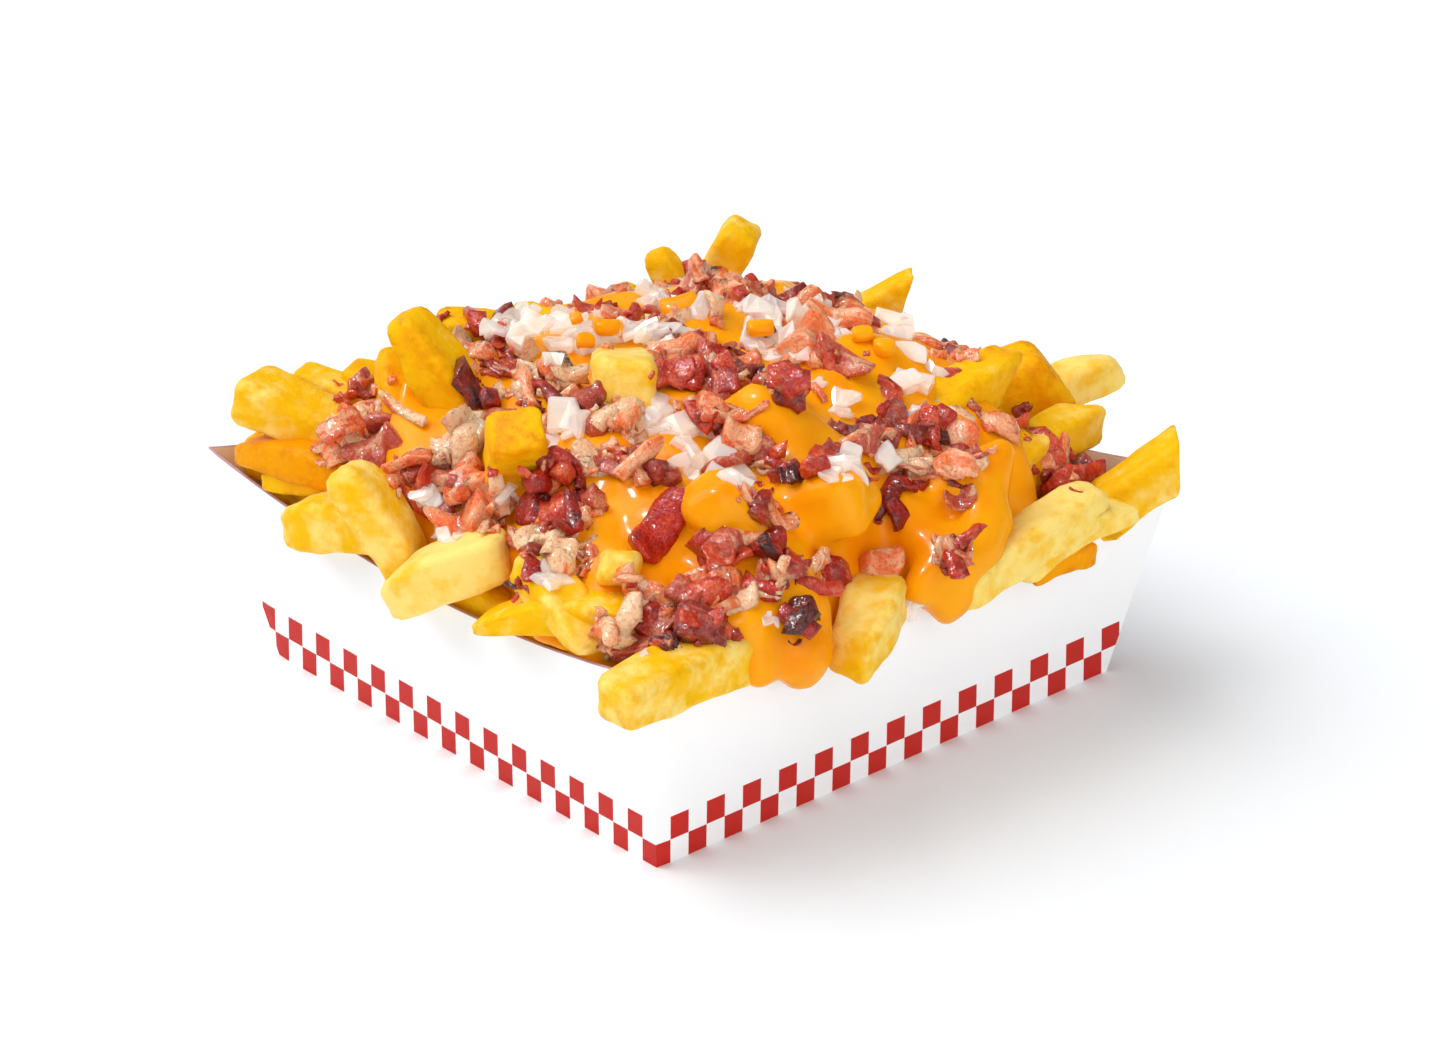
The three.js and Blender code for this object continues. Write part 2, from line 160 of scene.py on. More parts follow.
class Gathered:
    # points, faces and looks of many small shapes, joined into one mesh; each shape's corner numbers are
    # raised by the points before it
    def __init__(self):
        self.points, self.quads, self.tris, self.looks, self.count = [], [], [], [], 0

    def add(self, points, quads, tris, looks):
        self.points.append(points)
        self.quads.append(quads + self.count)
        self.tris.append(tris + self.count)
        self.looks.append(looks)
        self.count += len(points)

    def joined(self):
        return tuple(np.concatenate(part) for part in (self.points, self.quads, self.tris, self.looks))

    def surface(self):
        return self.joined()[:3]


def addPiece(name, points, quads, tris, looks, material, replaced=(), smooth=True):
    # a mesh in metres that hangs on the body; the looks are a colour at each point for the materials
    mesh = bpy.data.meshes.new(name)
    mesh.vertices.add(len(points))
    mesh.vertices.foreach_set("co", (points * mm).astype(np.float32).ravel())
    corners = np.concatenate([quads.ravel(), tris.ravel()]).astype(np.int32)
    sizes = np.concatenate([np.full(len(quads), 4), np.full(len(tris), 3)])
    mesh.loops.add(len(corners))
    mesh.loops.foreach_set("vertex_index", corners)
    mesh.polygons.add(len(sizes))
    mesh.polygons.foreach_set("loop_start", np.concatenate([[0], np.cumsum(sizes)[:-1]]).astype(np.int32))
    mesh.update(calc_edges=True)
    mesh.polygons.foreach_set("use_smooth", np.full(len(sizes), smooth))
    if looks is not None:
        layer = mesh.attributes.new("look", "FLOAT_COLOR", "POINT")
        layer.data.foreach_set("color", looks.astype(np.float32).ravel())
    mesh.materials.append(material)
    mesh.validate()
    piece = bpy.data.objects.new(name, mesh)
    bpy.context.collection.objects.link(piece)
    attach(piece, "root")
    if replaced:
        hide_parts(*replaced)
    return piece


def newMaterial(name):
    # with its node tree and the shader in it
    made = bpy.data.materials.new(name)
    made.use_nodes = True
    tree = made.node_tree
    return made, tree, tree.nodes["Principled BSDF"]


def addNode(tree, kind, **settings):
    # a setting goes to the socket of its name, or else to the node itself
    made = tree.nodes.new(kind)
    for key, value in settings.items():
        if key in made.inputs:
            made.inputs[key].default_value = value
        else:
            setattr(made, key, value)
    return made


def plug(value, socket):
    # a link from another node, or a plain number or colour
    if isinstance(value, Signal):
        socket.id_data.links.new(value.socket, socket)
    else:
        socket.default_value = (*value, 1.0) if isinstance(value, tuple) else value


def worked(operation, first, second=0.0, clamp=False):
    # one Math node; either value may be a plain number
    tree = next(v.socket.id_data for v in (first, second) if isinstance(v, Signal))
    made = addNode(tree, "ShaderNodeMath", operation=operation, use_clamp=clamp)
    plug(first, made.inputs[0])
    plug(second, made.inputs[1])
    return Signal(made.outputs[0])


class Signal:
    # what a node gives out; plain arithmetic on it adds Math nodes
    def __init__(self, socket):
        self.socket = socket

    def __add__(self, other):
        return worked("ADD", self, other)

    def __sub__(self, other):
        return worked("SUBTRACT", self, other)

    def __rsub__(self, other):
        return worked("SUBTRACT", other, self)

    def __mul__(self, other):
        return worked("MULTIPLY", self, other)

    def over(self, limit):
        return worked("GREATER_THAN", self, limit)

    def under(self, limit):
        return worked("LESS_THAN", self, limit)

    def steps(self, low, high):
        # 0 below low, 1 above high, smooth between
        made = addNode(self.socket.id_data, "ShaderNodeMapRange", interpolation_type="SMOOTHSTEP")
        for value, socket in zip((self, low, high), made.inputs):
            plug(value, socket)
        return Signal(made.outputs[0])

    def mixed(self, first, second):
        # the first colour where this is 0, the second where it is 1
        made = addNode(self.socket.id_data, "ShaderNodeMix", data_type="RGBA")
        for value, number in ((self, 0), (first, 6), (second, 7)):
            plug(value, made.inputs[number])
        return Signal(made.outputs[2])


def speckle(tree, size, detail):
    # cloudy noise with lumps of a size in millimetres, over Object coordinates
    made = addNode(tree, "ShaderNodeTexNoise", Scale=1000 / size, Detail=detail, Roughness=0.55)
    tree.links.new(tree.nodes.new("ShaderNodeTexCoord").outputs["Object"], made.inputs["Vector"])
    return Signal(made.outputs["Fac"])


def looksOf(tree):
    # the four numbers that each shape carries at its points
    read = addNode(tree, "ShaderNodeAttribute", attribute_name="look")
    split = tree.nodes.new("ShaderNodeSeparateColor")
    tree.links.new(read.outputs["Color"], split.inputs[0])
    return [Signal(socket) for socket in (*split.outputs, read.outputs["Alpha"])]


def addBump(tree, shader, height, strength, distance, socket="Normal"):
    # the normal leans by the slope of the height, which is given in millimetres
    made = addNode(tree, "ShaderNodeBump", Strength=strength, Distance=distance * mm)
    plug(height, made.inputs["Height"])
    tree.links.new(made.outputs["Normal"], shader.inputs[socket])


def finish(shader, values, **linked):
    # plain values go to the sockets of their names, and the signals to Base Color and Roughness
    for key, value in values.items():
        shader.inputs[key].default_value = value
    if "colour" in linked:
        plug(linked["colour"], shader.inputs["Base Color"])
    if "roughness" in linked:
        plug(linked["roughness"], shader.inputs["Roughness"])


# the tray: folded board with flared walls and rims that dip in the middle
tray = {
    "baseHalf": (66.0, 68.0),
    "flare": 10.0,
    "cornerHeight": 52.0,
    "rimDip": 9.0,
    "board": 0.8,
    "bevel": 0.25,
    "alongWall": 40,
    "upWall": 14,
    "cornerRound": 0.3,
    "bulge": 0.35,  # how far the walls belly out
    "checkWide": ((4.68, 5.18), (5.02, 5.85)),  # front and right wall, at the near corner and far end
    "checkHigh": ((6.4, 7.0), (6.4, 6.7)),
    "lean": ((0.228, 0.319), (0.16, 0.249)),  # how the checks lean with the flare, per millimetre of height
    "wrap": 0.27,  # share of the corner's check that lies round the corner
    "firstColumn": 40,  # the columns count from here, so that they stay above zero
    "white": (0.96, 0.96, 0.965),
    "red": (0.55, 0.018, 0.011),
    "inside": (0.95, 0.79, 0.64),
    # the board's edge along the rim, in a dusky pink darker than the board: painted shade on that edge
    "rim": (0.52, 0.28, 0.3),
    "cloudy": (0.86, 0.86, 0.86),
    "shader": {"Roughness": 0.5, "Specular IOR Level": 0.15},
}
# rows of the check map, counted upwards on the outer face, and the rows that stand for the other faces
mapRows = {"underside": 10, "inside": 20, "rim": 30}


def wallHalf(z):
    # half-widths to the walls' outer faces: the base's, growing evenly with the height
    grown = tray["flare"] * z / tray["cornerHeight"]
    return tray["baseHalf"][0] + grown, tray["baseHalf"][1] + grown


rimX, rimY = wallHalf(tray["cornerHeight"])  # half-widths at the corners' height


def rimHeight(u):
    # highest at the corners, and lower towards the middle of a wall by one less the square of the place
    return tray["cornerHeight"] - tray["rimDip"] * (1 - u * u)


def trayPoints():
    # around: four walls, u from -1 to 1 on each; across: underside, up the outer face, over, down, floor.
    # Height is a share of the rim's arc, which is lowest at u 0.
    n = tray["alongWall"]
    u = np.linspace(-1, 1, n)
    upShare = np.linspace(0, 1, tray["upWall"])
    board, bevel = tray["board"], tray["bevel"]
    rows = [(0.0, 0.0, 0.5), (0.0, 0.0, 0.0)]
    rows += [(s, 0.0, 0.0) for s in upShare[1:-1]]
    rows += [(1.0, -bevel, 0.0), (1.0, 0.0, bevel), (1.0, 0.0, board - bevel), (1.0, -bevel, board)]
    rows += [(s, 0.0, board) for s in upShare[-2:0:-1]]
    rows += [(0.0, board, board), (0.0, board, board + 0.6)]
    points = []
    for share, lift, inset in rows:
        z = share * rimHeight(u) + lift
        halfX, halfY = wallHalf(z)
        belly = tray["bulge"] * np.sin(np.pi * share) * (1 - u ** 4)
        halfX = halfX - inset + belly
        halfY = halfY - inset + belly
        ease = 1 - tray["cornerRound"] / 70 * np.clip((np.abs(u) - 0.985) / 0.015, 0, 1)
        walls = [
            np.stack([u * halfX, -halfY * ease, z], -1),
            np.stack([halfX * ease, u * halfY, z], -1),
            np.stack([-u * halfX, halfY * ease, z], -1),
            np.stack([-halfX * ease, -u * halfY, z], -1),
        ]
        points.append(np.concatenate([w[:-1] for w in walls]))
    return np.array(points)


def checksAlong(distance, height, wall):
    # Columns and rows of checks at a distance from the corner. The width grows evenly along the wall, so
    # the column is the logarithm of one plus the growth times the distance, over the growth.
    share = distance / (2 * tray["baseHalf"][wall])
    near, far = tray["checkWide"][wall]
    growth = (far - near) / (2 * tray["baseHalf"][wall])
    lean = tray["lean"][wall][0] + (tray["lean"][wall][1] - tray["lean"][wall][0]) * share
    column = np.log1p(growth * (distance + lean * height) / near) / growth
    low, high = tray["checkHigh"][wall]
    return column, height / (low + (high - low) * share)


def makeTray():
    grid = trayPoints()
    rows, around = grid.shape[:2]
    points = withPoles(grid, [0, 0, 0.0], [0, 0, tray["board"]])
    quads, tris = tubeFaces(rows, around)
    made = addPiece("trayBoard", points, quads, tris, None, trayMaterial(), ["tray"], smooth=False)
    mesh = made.data
    # the map holds check columns and rows on the outer faces, and a row of its own for each other face
    corner = np.empty(len(mesh.loops), dtype=np.int32)
    mesh.loops.foreach_get("vertex_index", corner)
    face = np.repeat(np.arange(len(quads)), 4)
    row = face // around
    wall = np.clip((face % around) // (tray["alongWall"] - 1), 0, 3)
    at = points[corner[: len(face)]]
    halfX, halfY = tray["baseHalf"]
    fromCorner = np.choose(wall, [halfX - at[:, 0], halfY + at[:, 1], halfX + at[:, 0], halfY - at[:, 1]])
    onFront, onSide = [checksAlong(fromCorner, at[:, 2], side) for side in (0, 1)]
    outer = tray["upWall"]
    rowsUp = np.where(wall % 2 == 0, onFront[1], onSide[1]) + 0.001
    uv = np.zeros((len(mesh.loops), 2), dtype=np.float32)
    uv[: len(face), 0] = np.where(wall % 2 == 0, onFront[0], onSide[0] + tray["wrap"]) + tray["firstColumn"]
    faces, mapped = [row == 0, row < outer, row < outer + 3], [mapRows["underside"], rowsUp, mapRows["rim"]]
    uv[: len(face), 1] = np.select(faces, mapped, mapRows["inside"])
    uv[len(face):, 1] = mapRows["inside"]
    uv[len(face):len(face) + 3 * around, 1] = mapRows["underside"]
    mesh.uv_layers.new(name="checks").data.foreach_set("uv", uv.ravel())


def trayMaterial():
    # checks where the whole columns and rows add up to an even number, on the two lowest rows
    made, tree, shader = newMaterial("printedBoard")
    read = addNode(tree, "ShaderNodeUVMap", uv_map="checks")
    split = tree.nodes.new("ShaderNodeSeparateXYZ")
    tree.links.new(read.outputs[0], split.inputs[0])
    column, row = Signal(split.outputs[0]), Signal(split.outputs[1])
    odd = worked("MODULO", worked("FLOOR", column) + worked("FLOOR", row), 2.0)
    red = odd.under(0.5) * row.under(2.0) * row.over(0.0)
    white = (speckle(tree, 18, 3) * 0.1).mixed(tray["white"], tray["cloudy"])
    colour = red.mixed(white, tray["red"])
    colour = row.over(mapRows["inside"] - 5).mixed(colour, tray["inside"])
    colour = row.over(mapRows["rim"] - 5).mixed(colour, tray["rim"])
    finish(shader, tray["shader"], colour=colour)
    addBump(tree, shader, speckle(tree, 0.7, 4), 0.12, 0.05)
    return made


# the fries: each is a rounded oblong carried from its root to its tip; lengths in millimetres
fries = {
    "seen": (12, 4, 2),  # stations between the ends, points on each corner's arc, points on each side
    "hidden": (7, 3, 1),
    "cornerRound": 0.4,
    "rim": (2.4, 5.0),  # how long the rounding at an end is
    "cutRim": 1.8,
    "endSize": 0.66,  # how wide an end face is, beside the fry
    "cutSize": 0.86,
    "endRings": (0.0, 0.0, 0.12, 0.4, 1.0),  # where the rings of an end's rounding lie
    "taper": (0.0, 0.22),
    "taperReach": 14,  # how far from the ends each change goes
    "wedgeReach": 18,
    "slantReach": 6,
    "cutReach": 14,
    "twist": 9.0,
    "slant": 0.18,  # how far an end face leans along, for each millimetre across
    "bow": 1.5,
    "skew": 1.2,
    "waist": 0.05,
    "unevenness": 0.6,
    "lumpSize": 7.0,
    "grain": 0.16,
    "grainSize": 2.2,
    "faces": 0.955,  # how far the faces are drawn in
    "underCoat": 1.3,  # how much smaller a fry is on each side where sauce covers it
    "pale": (0.97, 0.72, 0.2),
    "yellow": (0.93, 0.5, 0.003),
    "golden": (0.87, 0.33, 0.0),
    "brown": (0.56, 0.15, 0.002),
    "flecks": (0.96, 0.64, 0.015),
    "shader": {
        "Subsurface Weight": 0.12,
        "Subsurface Radius": (1.0, 0.5, 0.1),
        "Subsurface Scale": 2.0 * mm,
        "Specular IOR Level": 0.04,
    },
}

# free end, root, width, thickness, tone from 0 pale to 1 golden, and 1 where sauce covers it
showingFries = {
    "topBlock": ((-44, 56, 78.5), (-58, 46, 38), 13.5, 10, 0.38, 0),
    "topCurved": ((-58, 40, 73), (-46, 47, 42), 8.5, 9, 0.4, 0),
    "backWedge": ((-14.8, 79.8, 63), (-33, 58.6, 43.5), 9, 10.5, 0.45, 0),
    "rightBig": ((38.5, 77.2, 61.5), (22, 50, 42), 15, 22, 0.85, 0),
    "rightPale": ((42.3, 94, 59.6), (30, 66, 50), 9, 9, 0.1, 0),
    "rightCoated": ((43.4, 51.7, 69.6), (45.4, 26.2, 66), 12, 12, 0.6, 0),
    "rightYellow": ((52.5, 70, 56.6), (60, 36, 53), 11, 10, 0.4, 0),
    "farRight": ((80, 73, 56.5), (66, 51, 35.5), 11, 11, 0.45, 0),
    "paleLong": ((80, 49, 54), (81, 4, 46), 11, 10, 0.1, 0),
    "paleShort": ((82, 55, 52), (78, 24, 46), 11, 10, 0.15, 0),
    "paleUpright": ((85, -31.5, 44.5), (72, -9, 49), 13, 11, 0.25, 0),
    "roundCoated": ((70, -14, 72), (38, -30, 52), 15, 13, 0.7, 1),
    "frontCorner": ((78, -90, 51), (72, -42, 46), 14, 12, 0.3, 0),
    "frontFlat": ((24, -81, 49), (60, -66, 56), 12, 8, 0.45, 0),
    "frontFlatTwo": ((56, -76, 49), (30, -72, 60), 12, 9, 0.35, 0),
    "frontPale": ((-1.1, -84.5, 43.6), (20.8, -70, 58.3), 12.5, 11, 0.02, 0),
    "cornerFill": ((-69, -70, 47.5), (-68, -30, 45), 11, 11, 0.8, 0),
    "cornerFillTwo": ((-62, -69, 47), (-24, -66, 47), 11, 11, 0.5, 0),
    "rimLeft": ((-54, -69, 46), (-14, -70.5, 42), 10, 10, 0.6, 0),
    "rimMiddle": ((-8, -70.5, 42.5), (34, -70.5, 43), 10, 10, 0.7, 0),
    "leftUpright": ((-16.6, -85, 69.8), (-0.9, -76, 39.9), 11.5, 10, 0.3, 0),
    "leftPale": ((-43, -79, 45.2), (-14, -76, 52), 13, 11, 0.32, 0),
    "leftGolden": ((-57, -75, 52.4), (-26, -66, 54), 12, 10, 0.5, 0),
    "leftBrown": ((-65.2, -76, 55.6), (-33.7, -70, 57), 10, 9, 1.25, 0),
    "leftSlab": ((-64.7, -74, 68.4), (-26.8, -56, 51.2), 14, 11, 0.36, 0),
    "leftTiny": ((-70, -56, 65), (-36, -48, 57), 9, 8, 0.4, 0),
    "leftBehind": ((-60, -50, 67), (-28, -42, 57), 10, 9, 0.6, 0),
    "bigStand": ((-33.4, -53, 91.2), (-14, -44, 50), 13, 12, 0.7, 0),
    "backFlat": ((-60, -24, 70), (-36, 8, 58), 12, 10, 0.65, 0),
    "backTip": ((-56, -6, 69), (-32, 22, 56), 9, 8, 0.65, 0),
    "sideCoated": ((-45, -48, 79), (-20, -60, 50), 13, 12, 0.7, 1),
    "squareEnd": ((18, -35, 84.5), (-14, -8, 69), 14, 13, 0.14, 0),
    "coatedStub": ((16, -63, 83), (2, -53, 54), 12.5, 12, 0.78, 0),
    "midCoated": ((34, -13, 82), (58, -8, 60), 12, 11, 0.8, 1),
    "rightMidCoated": ((28, 30, 79), (38, 6, 56), 12, 11, 0.7, 1),
    "paleTip": ((54, -68, 66), (40, -52, 50), 9, 8, 0.35, 0),
    "midLump": ((53, -45, 76), (66, -28, 52), 12, 11, 0.7, 1),
    # its golden-brown tone is painted shade, for its place under paleLong against the wall
    "underPale": ((78.5, 48, 41), (77, 30, 41), 7, 7, 1.1, 0),
    "rightLump": ((70, 18, 66), (62, 12, 40), 13, 11, 0.7, 1),
}

# how much thinner these are at the tip; below zero the upper side stays straight
wedgeTips = {
    "frontFlat": 0.6,
    "frontFlatTwo": -0.5,
    "leftGolden": 0.4,
    "bigStand": 0.25,
    "paleShort": 0.4,
    "leftBrown": 0.3,
}
# how far the cut at the free end leans along, for each millimetre across the width and the thickness
cutTips = {
    "backWedge": (0.0, 1.3),
    "farRight": (0.2, 0.75),
    "rightCoated": (0.0, 1.2),
    "paleUpright": (0.4, -0.5),
    "rightYellow": (-0.5, 0.2),
    "coatedStub": (0.15, 0.1),
}
# how blunt and round the free end is, from 0 to 0.5
roundTips = {
    "leftUpright": 0.5,
    "frontPale": 0.42,
    "leftPale": 0.25,
    "leftSlab": -0.15,
    "paleTip": 0.4,
    "topCurved": 0.45,
    "rightPale": 0.4,
    "paleLong": 0.3,
    "bigStand": 0.2,
}
heap = {
    "edge": 47.0,
    "dome": 34.0,
    "power": 3,
    "reliefDepth": 1.6,
    "reliefPitch": 21.0,
    "hollowDepth": 15.0,
    "hollowRadius": 26.0,
    "slopeSink": 4.0,
    "dip": (-46.0, 24.0, 24.0, 5.5),  # middle, radius and depth of the dip on the far left
}
# the core's look is the tone of a golden fry, darker than most: painted shade for the gaps between the fries,
# where only the core shows
core = {"fromWall": 3.0, "sink": 9.0, "floor": 20.0, "look": (0.9, 0.0, 0.0, 0.5)}
slopeFries = {
    "count": 38,
    "seed": 23,
    "reach": 0.84,
    "steps": (0.7549, 0.5698),
    "sunk": (0.3, 0.55),  # how deep the two ends lie, as shares of the thickness
    "leastFarness": 0.16,
    "swing": 1.1,
    "long": (34, 48),
    "wide": (10, 14),
    "thick": (8, 11),
}
farFries = {
    "count": 14,
    "seed": 11,
    "reach": (0.84, 1.08),
    "tipHeight": (44, 54),
    "fall": (0.1, 0.55),
    "swing": 0.65,
    "long": (38, 52),
    "wide": (10, 14),
    "thick": (8, 12),
}
# fries that only show between the others, sunk into the heap all over
fillFries = {
    "count": 64,
    "seed": 31,
    "reach": 0.88,
    "steps": (0.8192, 0.6710),
    "fromWall": 12.5,
    "sink": (4.5, 8.0),
    "long": (30, 46),
    "wide": (10, 13),
    "thick": (9, 11),
}


def near(distance, reach):
    # 1 at no distance, falling evenly to 0 at the reach
    return np.clip(1 - distance / reach, 0, 1)


def bell(away, radius):
    # 1 in the middle: e to the power of minus the squared distance in radii
    return np.exp(-((away / radius) ** 2))


def heapHeight(x, y):
    # a dome over the rim: flat in the middle, falling as a power of the distance to each wall, less a
    # bell-shaped hollow at the far right corner and a bell-shaped dip on the left
    u = np.minimum(np.abs(x) / rimX, 1)
    v = np.minimum(np.abs(y) / rimY, 1)
    raised = heap["dome"] * (1 - u ** heap["power"]) * (1 - v ** heap["power"])
    hollow = heap["hollowDepth"] * bell(np.hypot(x - rimX, y - rimY), heap["hollowRadius"])
    dipX, dipY, radius, depth = heap["dip"]
    dip = depth * np.exp(-((x - dipX) ** 2 + (y - dipY) ** 2) / radius ** 2)
    return heap["edge"] + raised - hollow - dip


def farness(x, y):
    # 0 on the near half and growing evenly to 1 at the far left corner
    return np.clip((y / rimY - x / rimX) / 2, 0, 1)


def coreHeight(x, y):
    # the heap with two crossed waves and a slanted one, sunk on its far slopes
    p = 2 * math.pi / heap["reliefPitch"]
    crossed = np.sin(p * x + 0.7) * np.cos(p * y * 0.9)
    slanted = np.sin(p * (0.7 * x - y) + 2)
    relief = heap["reliefDepth"] * (crossed + 0.6 * slanted)
    return heapHeight(x, y) + relief - heap["slopeSink"] * np.minimum(3 * farness(x, y), 1)


def spreadPlaces(kind):
    # number i lies where the fractional parts of i times two steps put it, drawn out towards the walls
    for i in range(1, kind["count"] + 1):
        shares = [2 * ((i * step) % 1) - 1 for step in kind["steps"]]
        yield kind["reach"] * shares[0] * rimX, kind["reach"] * shares[1] * rimY


def lyingEnds(x, y, heading, half, depths, fromWall=-math.inf):
    # half a length to both sides of the middle, each end sunk by its depth in the heap and kept that far
    # inside the rim
    limits = np.array([rimX, rimY]) - fromWall
    ends = []
    for sign, depth in zip((1, -1), depths):
        place = x + sign * half * math.cos(heading), y + sign * half * math.sin(heading)
        px, py = np.clip(place, -limits, limits)
        ends.append((float(px), float(py), float(heapHeight(px, py)) - depth))
    return ends


def slopeFryList():
    # on the far slopes, heading away from the middle give or take the swing
    draw = seeded(slopeFries["seed"])
    made = []
    for x, y in spreadPlaces(slopeFries):
        swing = between(draw, (-slopeFries["swing"], slopeFries["swing"]))
        heading = math.atan2(y / rimY, x / rimX) + swing
        half = between(draw, slopeFries["long"]) / 2
        wide, thick = between(draw, slopeFries["wide"]), between(draw, slopeFries["thick"])
        if farness(x, y) >= slopeFries["leastFarness"]:
            depths = [share * thick for share in slopeFries["sunk"]]
            made.append((*lyingEnds(x, y, heading, half, depths), wide, thick))
    return made


def farFryList():
    # evenly along the two far rims by turns, each falling inwards from its tip
    draw = seeded(farFries["seed"])
    made = []
    for i in range(farFries["count"]):
        behind = i % 2 == 0
        u = 0.9 * (2 * (i + 0.5) / farFries["count"] - 1)
        reach = between(draw, farFries["reach"])
        tip = (u * rimX, reach * rimY) if behind else (-reach * rimX, u * rimY)
        tipZ = between(draw, farFries["tipHeight"])
        inwards = (-math.pi / 2 if behind else 0) + between(draw, (-farFries["swing"], farFries["swing"]))
        long = between(draw, farFries["long"])
        fall = between(draw, farFries["fall"])
        root = (
            tip[0] + math.cos(inwards) * math.cos(fall) * long,
            tip[1] + math.sin(inwards) * math.cos(fall) * long,
            tipZ - math.sin(fall) * long,
        )
        made.append(((*tip, tipZ), root, between(draw, farFries["wide"]), between(draw, farFries["thick"])))
    return made


def fillFryList():
    # lying all over, heading any way
    draw = seeded(fillFries["seed"])
    made = []
    for x, y in spreadPlaces(fillFries):
        heading = 2 * math.pi * draw()
        half = between(draw, fillFries["long"]) / 2
        depths = [between(draw, fillFries["sink"])] * 2
        ends = lyingEnds(x, y, heading, half, depths, fillFries["fromWall"])
        made.append((*ends, between(draw, fillFries["wide"]), between(draw, fillFries["thick"])))
    return made


def fryAxes(tip, root):
    # ends as arrays, and three directions: along the fry, level across it, and out of its upper side
    tip, root = np.array(tip, float), np.array(root, float)
    along = unit(tip - root)
    across = unit(np.cross([0, 0, 1], along))
    return tip, root, along, across, np.cross(along, across)


def crossSection(cornerSteps, sideSteps):
    # an oblong of half-size 1 whose corners are arcs, with its faces drawn in a little;
    # the second array is 1 at the corners and 0 on the faces
    r = fries["cornerRound"]
    middles = np.array([[1, 1], [-1, 1], [-1, -1], [1, -1]]) * (1 - r)
    turns = math.pi / 2 * (np.arange(4)[:, None] + np.linspace(0, 1, cornerSteps))
    arcs = middles[:, None] + r * np.stack([np.cos(turns), np.sin(turns)], -1)
    share = (np.arange(1, sideSteps + 1) / (sideSteps + 1))[None, :, None]
    sides = (arcs[:, -1:] + (np.roll(arcs, -1, axis=0)[:, :1] - arcs[:, -1:]) * share) * fries["faces"]
    edge = np.concatenate([np.ones((4, cornerSteps)), np.zeros((4, sideSteps))], 1)
    return np.concatenate([arcs, sides], 1).reshape(-1, 2), edge.ravel()


def quarterCircle(share):
    # from 0 to 1: the root of one less the square of what is left to go
    return np.sqrt(np.clip(1 - (1 - np.clip(share, 0, 1)) ** 2, 0, 1))


def turned(a, b, angle):
    # two places turned by an angle: each is a sum of both with its cosine and sine
    return a * np.cos(angle) - b * np.sin(angle), a * np.sin(angle) + b * np.cos(angle)


def inSpace(origin, axes, *places):
    # the origin plus each place times its axis
    for axis, place in zip(axes, places):
        origin = origin + place[..., None] * axis
    return origin


def fryShape(tip, root, wide, thick, tone, seed, detail, wedge=0, cut=None, blunt=0):
    # The section is carried along a parabola from root to tip, turned a little on the way. Near each end it
    # shrinks as a quarter circle, over a longer way at a blunt tip, and the end face is cut on a slant. Noise
    # makes the faces uneven.
    draw = seeded(seed * 7919 + 13)
    tip, root, along, across, rise = fryAxes(tip, root)
    length = np.linalg.norm(tip - root)
    stations, cornerSteps, sideSteps = detail
    section, edge = crossSection(cornerSteps, sideSteps)
    rim = between(draw, fries["rim"])
    tipRim = fries["cutRim"] if cut else rim + 9 * blunt
    tipSize = fries["cutSize"] if cut else fries["endSize"] - 0.5 * blunt
    inner = np.linspace(0, 1, stations + 2)[1:-1]
    ends = np.array(fries["endRings"]) / length
    middlePart = (rim + inner * (length - rim - tipRim)) / length
    t = np.concatenate([ends * rim, middlePart, (1 - ends * tipRim)[::-1]])
    fromRoot, fromTip = t * length, (1 - t) * length
    size = fries["endSize"] + (1 - fries["endSize"]) * quarterCircle(fromRoot / rim)
    size = size * (tipSize + (1 - tipSize) * quarterCircle(fromTip / tipRim))
    size[0], size[-1] = 0.36, 0.5 * tipSize
    atTip, atRoot = [between(draw, fries["taper"]) for _ in range(2)]
    nearTip, nearRoot = [near(away, fries["taperReach"]) for away in (fromTip, fromRoot)]
    size = size * (1 - atTip * nearTip - atRoot * nearRoot)
    size = size * (1 + fries["waist"] * np.sin(2 * math.pi * (t * between(draw, (0.4, 1.2)) + draw())))
    twist = np.radians(between(draw, (-fries["twist"], fries["twist"]))) * (t - 0.5)
    slants = [[between(draw, (-fries["slant"], fries["slant"])) for _ in range(2)] for _ in range(2)]
    slants[0] = cut or slants[0]
    x, y = turned(section[:, 0], section[:, 1], twist[:, None])
    x, y = x * size[:, None] * wide / 2, y * size[:, None] * thick / 2
    straight = math.copysign(thick / 2, wedge)
    y = (y + straight) * (1 - abs(wedge) * near(fromTip, fries["wedgeReach"])[:, None]) - straight
    bow = (fries["bow"] * 4 * t * (1 - t))[:, None]
    skew = (between(draw, (-fries["skew"], fries["skew"])) * 4 * t * (1 - t))[:, None]
    tipReach = fries["cutReach"] if cut else fries["slantReach"]
    lean = near(fromTip, tipReach)[:, None] * (slants[0][0] * x + slants[0][1] * y)
    lean = lean + near(fromRoot, fries["slantReach"])[:, None] * (slants[1][0] * x + slants[1][1] * y)
    forward = fromRoot[:, None] + lean
    points = inSpace(root, (along, across, rise), forward, x + skew, y + bow)
    outwards = points - inSpace(root, (along, rise), forward, bow)
    outwards /= np.linalg.norm(outwards, axis=-1, keepdims=True) + 1e-9
    lumps = fries["unevenness"] * noise(points, fries["lumpSize"], seed)
    rough = lumps + fries["grain"] * noise(points, fries["grainSize"], seed + 1)
    points = points + outwards * rough[..., None]
    rings, around = points.shape[:2]
    flat = withPoles(points, points[0].mean(0) - along * 0.25, points[-1].mean(0) + along * 0.25)
    own = (seed % 97) / 97
    endness = near(np.minimum(fromRoot, fromTip), 5)[:, None]
    looks = np.stack(np.broadcast_arrays(tone, edge, endness, own), -1)
    return flat, withPoles(looks, (tone, 0, 1, own), (tone, 0, 1, own)), rings, around


